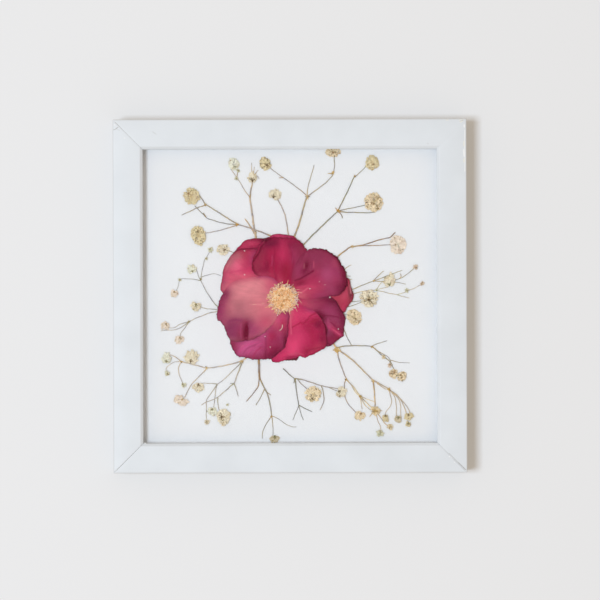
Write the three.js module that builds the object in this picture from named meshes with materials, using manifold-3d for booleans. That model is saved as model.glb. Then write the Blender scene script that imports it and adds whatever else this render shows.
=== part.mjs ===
// A small square picture: a pressed rose and sprays of baby's breath behind glass in a white
// painted moulding, hung from a sawtooth hanger.
// Millimetres. +Z is up and the picture looks along -Y; the wall is the plane y = 0. The origin is
// the point on the wall where the hanger sits on its nail.
import * as THREE from 'three';
import { mergeVertices } from 'three/addons/utils/BufferGeometryUtils.js';
import Module from 'manifold-3d';

const wasm = await Module();
wasm.setup();

// ---- driving dimensions ---------------------------------------------------------------------
const FRAME_SIDE = 177;        // outside of the moulding, both ways
const FRAME_DEPTH = 18;        // wall to the front face
const RAIL_WIDTH = 14.9;       // outer side to the sight edge
const BEVEL_WIDTH = 1.3;       // bevelled inner edge of the face
const BEVEL_DROP = 1.1;
const EDGE_ROUND = 0.8;        // soft outer arris of the face
const BACK_EASE = 0.3;         // eased outer arris against the wall
const LIP_THICKNESS = 2.4;     // lip in front of the glass
const RABBET_WIDTH = 2.6;      // how far the lip covers the glass
const MITRE_GAP = 0.15;        // each rail stands this far back from the mitre plane
const GLASS_THICKNESS = 1.6;
const PRESSED_LAYER = 3.1;     // room for the flowers between glass and card
const CARD_THICKNESS = 0.6;
const BOARD_THICKNESS = 2.5;
const FIT = 0.3;               // play between loose pieces
const SEAT = 0.2;              // play between the glass and the lip
const HANG_DROP = 64;          // nail point above the middle of the picture

const TAB = { width: 7, length: 11.5, thickness: 0.45, inSlot: 2.6, along: 36, corner: 2 };
const HANGER = { width: 46, height: 8, sheet: 0.7, rise: 2.4, foot: 8, ramp: 2.2,
  teeth: 9, pitch: 2.6, tooth: 1.5, land: 0.1 };
const RIVET = { head: 2.3, headHeight: 0.8, shank: 1.0, hole: 1.35, dome: 0.15, edge: 0.25 };

const PETAL_THICKNESS = 0.18;
const PETAL_GAP = 0.06;
const CARD_GAP = 0.1;          // the lowest sprays lie this far above the card
const LEVEL_STEP = 0.56;       // sprays that cross lie on levels this far apart
const TWIG_THICKNESS = 0.42;
const TWIG_STEP = 9;           // length of one straight stretch of a twig
const TWIG_STAGGER = 0.011;    // twigs of a spray step up by this, so none share a face
const TWIG_ROOM = 0.9;         // petals rise over a twig from this far beside it
const FLORET_THICKNESS = 0.8;
const JOINT_THICKNESS = 0.48;

// distances in front of the wall
const half = FRAME_SIDE / 2;
const rabbetHalf = half - RAIL_WIDTH + RABBET_WIDTH;
const lipBack = FRAME_DEPTH - LIP_THICKNESS;
const glassFront = lipBack - SEAT;
const glassBack = glassFront - GLASS_THICKNESS;
const cardFront = glassBack - PRESSED_LAYER;
const cardBack = cardFront - CARD_THICKNESS;
const boardFront = cardBack - FIT;
const boardBack = boardFront - BOARD_THICKNESS;

// ---- materials ------------------------------------------------------------------------------
const paint = () => new THREE.MeshStandardMaterial({ color: 0xe2e5ea, roughness: 0.45, metalness: 0 });
const glass = () => new THREE.MeshStandardMaterial({
  color: 0xf4f8f8, roughness: 0.03, metalness: 0, transparent: true, opacity: 0.12 });
const paper = () => new THREE.MeshStandardMaterial({ color: 0xe8eaed, roughness: 0.9, metalness: 0 });
const hardboard = () => new THREE.MeshStandardMaterial({ color: 0x6e4a2c, roughness: 0.8, metalness: 0 });
const steel = () => new THREE.MeshStandardMaterial({ color: 0xb9bcc0, roughness: 0.35, metalness: 1 });
const brass = () => new THREE.MeshStandardMaterial({ color: 0xc2a14d, roughness: 0.35, metalness: 1 });
const petal = (color) => new THREE.MeshStandardMaterial({ color, roughness: 0.75, metalness: 0 });
const stalk = (color) => new THREE.MeshStandardMaterial({ color, roughness: 0.85, metalness: 0 });

// ---- joining and cutting --------------------------------------------------------------------
function toSolid(geometry) {
  const bare = geometry.clone();
  bare.deleteAttribute('normal');
  bare.deleteAttribute('uv');
  const merged = mergeVertices(bare, 1e-4);
  return new wasm.Manifold(new wasm.Mesh({
    numProp: 3,
    vertProperties: new Float32Array(merged.attributes.position.array),
    triVerts: new Uint32Array(merged.index.array),
  }));
}

function toGeometry(solid) {
  const mesh = solid.getMesh();
  const geometry = new THREE.BufferGeometry();
  geometry.setAttribute('position', new THREE.BufferAttribute(new Float32Array(mesh.vertProperties), 3));
  geometry.setIndex(new THREE.BufferAttribute(new Uint32Array(mesh.triVerts), 1));
  geometry.computeVertexNormals();
  return geometry;
}

function unite(geometries) {
  return geometries.slice(1).reduce((sum, g) => sum.add(toSolid(g)), toSolid(geometries[0]));
}

function node(name, geometry, material) {
  const mesh = new THREE.Mesh(geometry, material);
  mesh.name = name;
  return mesh;
}

// Everything below is drawn lying down: x across, y up the picture, z the distance from the wall.

function box(x0, x1, y0, y1, z0, z1) {
  const g = new THREE.BoxGeometry(x1 - x0, y1 - y0, z1 - z0);
  return g.translate((x0 + x1) / 2, (y0 + y1) / 2, (z0 + z1) / 2);
}

// ---- moulding -------------------------------------------------------------------------------
// section across the rail: s from the outer side inwards, z from the wall
function mouldingSection() {
  const inner = RAIL_WIDTH, rabbet = RAIL_WIDTH - RABBET_WIDTH;
  const r = EDGE_ROUND, cut = r * (1 - Math.SQRT1_2);
  const shape = new THREE.Shape();
  shape.moveTo(BACK_EASE, 0);
  shape.lineTo(rabbet, 0);
  shape.lineTo(rabbet, lipBack);
  shape.lineTo(inner, lipBack);
  shape.lineTo(inner, FRAME_DEPTH - BEVEL_DROP);
  shape.lineTo(inner - BEVEL_WIDTH, FRAME_DEPTH);
  shape.lineTo(r, FRAME_DEPTH);
  shape.lineTo(cut, FRAME_DEPTH - cut);
  shape.lineTo(0, FRAME_DEPTH - r);
  shape.lineTo(0, BACK_EASE);
  return shape;
}

// a rail lies along x with its outer side at y = half; its ends are cut to the mitre
function railGeometry() {
  const g = new THREE.ExtrudeGeometry(mouldingSection(), { depth: 1, bevelEnabled: false, steps: 1 });
  const p = g.attributes.position;
  for (let i = 0; i < p.count; i++) {
    const s = p.getX(i), z = p.getY(i), end = p.getZ(i);
    const reach = half - s - MITRE_GAP * Math.SQRT2;
    p.setXYZ(i, end > 0.5 ? -reach : reach, half - s, z);
  }
  return g;
}

// shallow slots in the rabbet wall take the retaining tabs
function rail(name, turn, slots) {
  let solid = toSolid(railGeometry());
  const w = TAB.width / 2 + FIT, past = 1;
  for (const x of slots) {
    const slot = box(x - w, x + w, rabbetHalf - past, rabbetHalf + TAB.inSlot + FIT,
      boardBack - TAB.thickness - 2 * FIT, boardBack);
    solid = solid.subtract(toSolid(slot));
  }
  const mesh = node(name, toGeometry(solid), paint());
  mesh.rotation.z = turn;
  return mesh;
}

// flat tongue with clipped corners, its root in the slot and its tip over the board
function retainingTab(name, x, turn) {
  const w = TAB.width / 2, c = TAB.corner;
  const root = rabbetHalf + TAB.inSlot, tip = root - TAB.length;
  const shape = new THREE.Shape();
  shape.moveTo(-w, root);
  shape.lineTo(-w, tip + c);
  shape.lineTo(c - w, tip);
  shape.lineTo(w - c, tip);
  shape.lineTo(w, tip + c);
  shape.lineTo(w, root);
  const g = new THREE.ExtrudeGeometry(shape, { depth: TAB.thickness, bevelEnabled: false });
  g.translate(x, 0, boardBack - FIT - TAB.thickness);
  const mesh = node(name, g, steel());
  mesh.rotation.z = turn;
  return mesh;
}

// ---- pack behind the lip --------------------------------------------------------------------
function pane() {
  const h = rabbetHalf - SEAT;
  return node('glass_pane', box(-h, h, -h, h, glassBack, glassFront), glass());
}

function card() {
  const h = rabbetHalf - FIT;
  return node('backing_card', box(-h, h, -h, h, cardBack, cardFront), paper());
}

const rivetX = (HANGER.width - HANGER.foot) / 2;
const rivetY = HANG_DROP - HANGER.tooth + HANGER.height / 2;

// drill through the board and the hanger's foot
function rivetHole(x) {
  const long = 3 * BOARD_THICKNESS;
  const drill = new THREE.CylinderGeometry(RIVET.hole, RIVET.hole, long, 12).rotateX(Math.PI / 2);
  return drill.translate(x, rivetY, boardBack + BOARD_THICKNESS / 4);
}

function board() {
  const h = rabbetHalf - FIT;
  let solid = toSolid(box(-h, h, -h, h, boardBack, boardFront));
  for (const x of [-rivetX, rivetX]) solid = solid.subtract(toSolid(rivetHole(x)));
  return node('backing_board', toGeometry(solid), hardboard());
}

// ---- hanger ---------------------------------------------------------------------------------
// zigzag whose peaks cut the hanger's lower edge into teeth, the middle notch over the nail
function teethCutter() {
  const { pitch, tooth, teeth, land } = HANGER;
  const low = HANG_DROP - tooth, start = -teeth * pitch / 2;
  const shape = new THREE.Shape();
  shape.moveTo(start, low - tooth);
  shape.lineTo(-start, low - tooth);
  for (let i = teeth; i > 0; i--) {
    shape.lineTo(start + i * pitch, low + land);
    shape.lineTo(start + (i - 0.5) * pitch, HANG_DROP);
  }
  shape.lineTo(start, low + land);
  return new THREE.ExtrudeGeometry(shape, { depth: boardBack, bevelEnabled: false });
}

// strip of sheet with flat feet and a raised middle
function hangerStrip() {
  const { width, height, sheet, rise, foot, ramp } = HANGER;
  const w = width / 2, flat = w - foot, top = boardBack - FIT;
  const outer = [[-w, top], [-flat, top], [ramp - flat, top - rise],
    [flat - ramp, top - rise], [flat, top], [w, top]];
  const inner = outer.map(([x, z]) => [x, z - sheet]).reverse();
  const shape = new THREE.Shape([...outer, ...inner].map(([x, z]) => new THREE.Vector2(x, z)));
  const g = new THREE.ExtrudeGeometry(shape, { depth: height, bevelEnabled: false });
  return g.rotateX(Math.PI / 2).translate(0, HANG_DROP - HANGER.tooth + height, 0);
}

function sawtoothHanger() {
  let solid = toSolid(hangerStrip()).subtract(toSolid(teethCutter()));
  for (const x of [-rivetX, rivetX]) solid = solid.subtract(toSolid(rivetHole(x)));
  return node('sawtooth_hanger', toGeometry(solid), brass());
}

// domed head against the hanger's foot, shank through the foot and the board
function rivet(name, x) {
  const underHead = boardBack - 2 * FIT - HANGER.sheet, top = underHead - RIVET.headHeight;
  const { head, shank, dome, edge } = RIVET, end = boardFront - FIT;
  const profile = [[0, top], [head * 0.6, top + dome], [head, underHead - edge],
    [head, underHead], [shank, underHead], [shank, end], [0, end]];
  const g = new THREE.LatheGeometry(profile.map(([r, z]) => new THREE.Vector2(r, z)), 8);
  g.rotateX(Math.PI / 2);
  const mesh = node(name, g, brass());
  mesh.position.set(x, rivetY, 0);
  return mesh;
}

// ---- what the petals lie on -----------------------------------------------------------------
// heights above the card of everything laid so far, on a square grid under the rose
class Bed {
  constructor(reach, cell) {
    this.reach = reach;
    this.cell = cell;
    this.count = Math.round(2 * reach / cell) + 1;
    this.top = new Float32Array(this.count * this.count);
  }

  // calls visit(index, x, y) for each grid point in a rectangle
  forEachIn(x0, x1, y0, y1, visit) {
    const lowest = (v) => Math.max(0, Math.ceil((v + this.reach) / this.cell));
    const highest = (v) => Math.min(this.count - 1, Math.floor((v + this.reach) / this.cell));
    for (let j = lowest(y0); j <= highest(y1); j++) {
      for (let i = lowest(x0); i <= highest(x1); i++) {
        visit(j * this.count + i, i * this.cell - this.reach, j * this.cell - this.reach);
      }
    }
  }

  highestAround(x, y, radius) {
    let best = 0;
    this.forEachIn(x - radius, x + radius, y - radius, y + radius, (k, gx, gy) => {
      if (Math.hypot(gx - x, gy - y) <= radius) best = Math.max(best, this.top[k]);
    });
    return best;
  }

  addDisc(x, y, radius, height) {
    this.forEachIn(x - radius, x + radius, y - radius, y + radius, (k, gx, gy) => {
      if (Math.hypot(gx - x, gy - y) <= radius) this.top[k] = Math.max(this.top[k], height);
    });
  }

  // covers a triangle, and a cell around it, with its highest corner
  addTriangle(a, b, c) {
    const height = Math.max(a.z, b.z, c.z), pad = this.cell;
    const xs = [a.x, b.x, c.x], ys = [a.y, b.y, c.y];
    const edges = [[a, b], [b, c], [c, a]];
    this.forEachIn(Math.min(...xs) - pad, Math.max(...xs) + pad,
      Math.min(...ys) - pad, Math.max(...ys) + pad, (k, x, y) => {
        const outside = edges.some(([p, q]) => {
          const ex = q.x - p.x, ey = q.y - p.y;
          return ex * (y - p.y) - ey * (x - p.x) < -pad * Math.hypot(ex, ey);
        });
        if (!outside) this.top[k] = Math.max(this.top[k], height);
      });
  }
}

// ---- rose -----------------------------------------------------------------------------------
// petals from the lowest to the uppermost, each with the points of its margin in order round it
const PETALS = [
  { name: 'rose_petal_right_back', color: 0xa30c2c, heart: [21, -1], margin: [
    [26.8, -8.6], [28.5, -6], [30, -4], [31.2, -2.5], [31.9, -0.8], [31.8, 1], [31, 3.5], [30.3, 6],
    [29.9, 8], [28, 9], [23, 8.5], [16, 6.5], [10, 3], [8, -1], [12, -5.5], [20, -8.5]] },
  { name: 'rose_petal_left_back', color: 0x960f30, heart: [-16, 21], margin: [
    [-9, 22], [-8.5, 27], [-10, 29.6], [-13, 29.1], [-18, 29], [-20.5, 28.6], [-22.7, 27.9],
    [-25, 25.5], [-27, 23.2], [-25, 18.5], [-18, 14.5], [-11, 14]] },
  { name: 'rose_petal_upper_back', color: 0x9e0e33, heart: [-4.5, 22], margin: [
    [3, 22], [4, 27], [2.4, 29.7], [0, 30.5], [-3, 31], [-6, 31.2], [-8, 31], [-10, 30], [-11.4, 27],
    [-11, 21], [-7, 15], [-2, 15]] },
  { name: 'rose_petal_lower_back', color: 0x4a0614, heart: [-0.5, -24], margin: [
    [3, -18], [5.5, -24], [4.6, -30], [3.2, -32.2], [0.5, -32.2], [-1, -32.6], [-2.5, -32.3],
    [-5, -31], [-6, -25], [-4, -18]] },
  { name: 'rose_petal_lower_right', color: 0x6a0a20, heart: [17, -13], margin: [
    [2, -3], [8, -2], [14, -1.2], [18, -0.4], [20.3, -0.3], [23, -2.5], [25, -6], [26.8, -8.8],
    [27.9, -11.5], [27.5, -14], [27, -16.5], [26.9, -20], [25.8, -20.9], [24, -22], [21.5, -24.3],
    [19.5, -25.3], [15, -24.5], [9, -19], [3, -11]] },
  { name: 'rose_petal_upper_left', color: 0x8f1030, heart: [-22, 10], margin: [
    [-6, 3], [-6, 8], [-10, 15], [-14, 21], [-17, 23.8], [-21, 24.3], [-26, 24.2], [-28.3, 22.3],
    [-30.2, 19.8], [-32.5, 16], [-33.5, 13.3], [-34, 10], [-34.6, 6.5], [-35, 3.6], [-34, 1.8],
    [-32, -1], [-26, -3.5], [-16, -3], [-9, -1]] },
  { name: 'rose_petal_bottom', color: 0x930d2e, heart: [3, -18], margin: [
    [13, -8.2], [15.6, -11], [17.3, -14], [18.2, -17.5], [18.2, -21], [17.8, -25.7], [14, -28],
    [11, -29.7], [9, -30.3], [7.5, -31.1], [5.2, -30.3], [3, -31.2], [0, -31.6], [-2.5, -32.2],
    [-4, -32.8], [-6.5, -33.3], [-8.6, -33], [-10, -31], [-10.5, -25], [-9, -16], [-7, -9],
    [-3, -4.5], [3, -4], [8, -5.5]] },
  { name: 'rose_petal_top', color: 0x760a20, heart: [-6, 16], margin: [
    [7, 12], [8.6, 18], [8.6, 22.8], [7, 25.2], [5, 27.5], [2.5, 28.9], [-1, 29.2], [-6, 29.5],
    [-10, 29.2], [-14, 27], [-17, 24], [-18.6, 20.5], [-19.5, 17], [-19.2, 14.2], [-16.8, 11.2],
    [-12, 8], [-8, 3.5], [-3, 1], [2, 4]] },
  { name: 'rose_petal_lower_left', color: 0x8a1038, heart: [-15, -18], margin: [
    [-1, -8], [-0.9, -14], [-1.2, -20], [-2.6, -25.2], [-4.6, -27.7], [-7.2, -29.8], [-9.6, -31.5],
    [-12, -31.8], [-15, -31.7], [-18.5, -32], [-21.5, -31], [-24, -30.5], [-26.3, -30.2],
    [-28, -28], [-29.3, -26], [-30.2, -23.5], [-29, -19], [-24, -13.5], [-16, -9], [-8, -5]] },
  { name: 'rose_petal_upper_right', color: 0x5c0d2a, heart: [13, 10], margin: [
    [3, 0], [9, -1.8], [15, -1.2], [20, -0.2], [23.2, 0], [25.2, 1], [27, 2.5], [28.4, 5],
    [29, 8], [28.6, 9.6], [27.6, 13], [25.5, 16.8], [23.6, 19.4], [20.5, 21.9], [17, 23.5],
    [13.5, 24.1], [10.5, 23.6], [8.3, 22.7], [6, 20.5], [3.5, 17.4], [1.7, 13.5], [0.8, 8.5],
    [0.8, 4]] },
  { name: 'rose_petal_left', color: 0x8c2440, heart: [-20, -5], margin: [
    [-4, 0], [-5, 5], [-8, 8.7], [-12, 10], [-17, 9.7], [-22, 9], [-27, 7.8], [-30.5, 6],
    [-32.6, 3.3], [-34, 0.6], [-35.5, -1.8], [-36, -4], [-36.4, -7], [-37, -10], [-36, -12],
    [-34.6, -13], [-33.2, -16], [-31.8, -19], [-30.4, -22.2], [-28, -22.7], [-24, -22.7],
    [-19, -21.8], [-15, -19.8], [-12, -17.4], [-9, -14.5], [-6.5, -10.3], [-4.5, -6]] },
];

const PETAL_RIM = 22;          // points round a petal's margin
const PETAL_RINGS = 3;         // rings from the heart to the margin
const PETAL_DRAPE = 7.5;       // a petal clears what lies within this distance of each point

// A thin sheet in two faces, each a fan at the heart and quads out to the margin, where they meet.
// Both are cut into the same triangles, so the sheet keeps its thickness wherever it is draped.
function petalGeometry({ heart, margin }, bed) {
  const curve = new THREE.CatmullRomCurve3(
    margin.map(([x, y]) => new THREE.Vector3(x, y, 0)), true, 'centripetal');
  const rim = curve.getSpacedPoints(PETAL_RIM).slice(0, PETAL_RIM);
  if (THREE.ShapeUtils.isClockWise(rim)) rim.reverse();
  const positions = [], index = [];
  const point = (i, ring, side) => {
    const out = ring / PETAL_RINGS;
    const x = heart[0] + (rim[i].x - heart[0]) * out;
    const y = heart[1] + (rim[i].y - heart[1]) * out;
    const middle = bed.highestAround(x, y, PETAL_DRAPE) + PETAL_GAP + PETAL_THICKNESS / 2;
    positions.push(x, y, middle + (ring < PETAL_RINGS ? side * PETAL_THICKNESS / 2 : 0));
  };
  for (const side of [1, -1]) {
    const first = positions.length / 3;
    point(0, 0, side);
    for (let ring = 1; ring <= PETAL_RINGS; ring++) {
      for (let i = 0; i < PETAL_RIM; i++) point(i, ring, side);
    }
    const at = (ring, i) => first + (ring === 0 ? 0 : 1 + (ring - 1) * PETAL_RIM + i % PETAL_RIM);
    const face = (a, b, c) => index.push(...(side > 0 ? [a, b, c] : [a, c, b]));
    for (let i = 0; i < PETAL_RIM; i++) {
      face(at(0, 0), at(1, i), at(1, i + 1));
      for (let ring = 1; ring < PETAL_RINGS; ring++) {
        face(at(ring, i), at(ring + 1, i), at(ring + 1, i + 1));
        face(at(ring, i), at(ring + 1, i + 1), at(ring, i + 1));
      }
    }
  }
  const g = new THREE.BufferGeometry();
  g.setAttribute('position', new THREE.Float32BufferAttribute(positions, 3));
  g.setIndex(index);
  return mergeVertices(g, 1e-4);
}

function layPetal(geometry, bed) {
  const p = geometry.attributes.position, index = geometry.index;
  const corner = (i) => new THREE.Vector3().fromBufferAttribute(p, index.getX(i));
  const laid = [];
  for (let i = 0; i < index.count; i += 3) laid.push([corner(i), corner(i + 1), corner(i + 2)]);
  for (const [a, b, c] of laid) bed.addTriangle(a, b, c);
}

// ---- stamens --------------------------------------------------------------------------------
const STAMENS = { x: -3.6, y: -1.4, radius: 5.2, reach: 7.2, rays: 7, height: 0.4, anther: 0.8,
  filament: 0.45, root: 3 };

// a low boss ringed by rays, each with an anther at its tip
function stamenGeometry(bed) {
  const { x, y, radius, reach, rays, height, anther, filament, root } = STAMENS;
  const base = bed.highestAround(x, y, reach + 2 * anther) + PETAL_GAP;
  const boss = new THREE.SphereGeometry(1, 10, 4).rotateX(Math.PI / 2);
  boss.scale(radius, radius, height / 2).translate(x, y, base + height / 2);
  const pieces = [boss];
  for (let i = 0; i < rays; i++) {
    const angle = i * 2 * Math.PI / rays, long = reach * (0.86 + 0.14 * Math.cos(i * 2.3));
    const at = (r) => [x + r * Math.cos(angle), y + r * Math.sin(angle)];
    pieces.push(twigGeometry({ width: filament, points: [at(root), at(long)] }, base + height / 2));
    const knob = new THREE.SphereGeometry(1, 5, 3).rotateX(Math.PI / 2).rotateZ(angle);
    pieces.push(knob.scale(anther, anther, height / 2).translate(...at(long), base + height / 2));
  }
  return toGeometry(unite(pieces));
}

// ---- baby's breath --------------------------------------------------------------------------
// ridged stem, flat underneath, along a curve lying at a height above the card
function twigGeometry({ width, points }, height) {
  const curve = new THREE.CatmullRomCurve3(
    points.map(([x, y]) => new THREE.Vector3(x, y, height)), false, 'centripetal');
  const w = width / 2, t = Math.min(TWIG_THICKNESS, width * 0.8) / 2;
  const section = new THREE.Shape([[t, -w], [t, w], [-t, 0]].map(([x, y]) => new THREE.Vector2(x, y)));
  const steps = Math.max(points.length > 2 ? 2 : 1, Math.ceil(curve.getLength() / TWIG_STEP));
  return new THREE.ExtrudeGeometry(section, { steps, bevelEnabled: false, extrudePath: curve });
}

// pressed floret, bud or joint: a thin lobed disc with a domed face
function headGeometry([x, y, rx, ry, turn = 0, lobes = 5], height, thickness) {
  const large = Math.max(rx, ry) > 1.8;
  const g = new THREE.SphereGeometry(1, large ? 10 : 6, large ? 4 : 3).rotateX(Math.PI / 2);
  const p = g.attributes.position;
  for (let i = 0; i < p.count; i++) {
    const px = p.getX(i), py = p.getY(i);
    const frill = 1 + 0.09 * Math.cos(lobes * Math.atan2(py, px) + turn * 3);
    p.setXYZ(i, px * frill * rx, py * frill * ry, p.getZ(i) * thickness / 2);
  }
  return g.rotateZ(turn).translate(x, y, height + thickness / 2);
}

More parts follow.
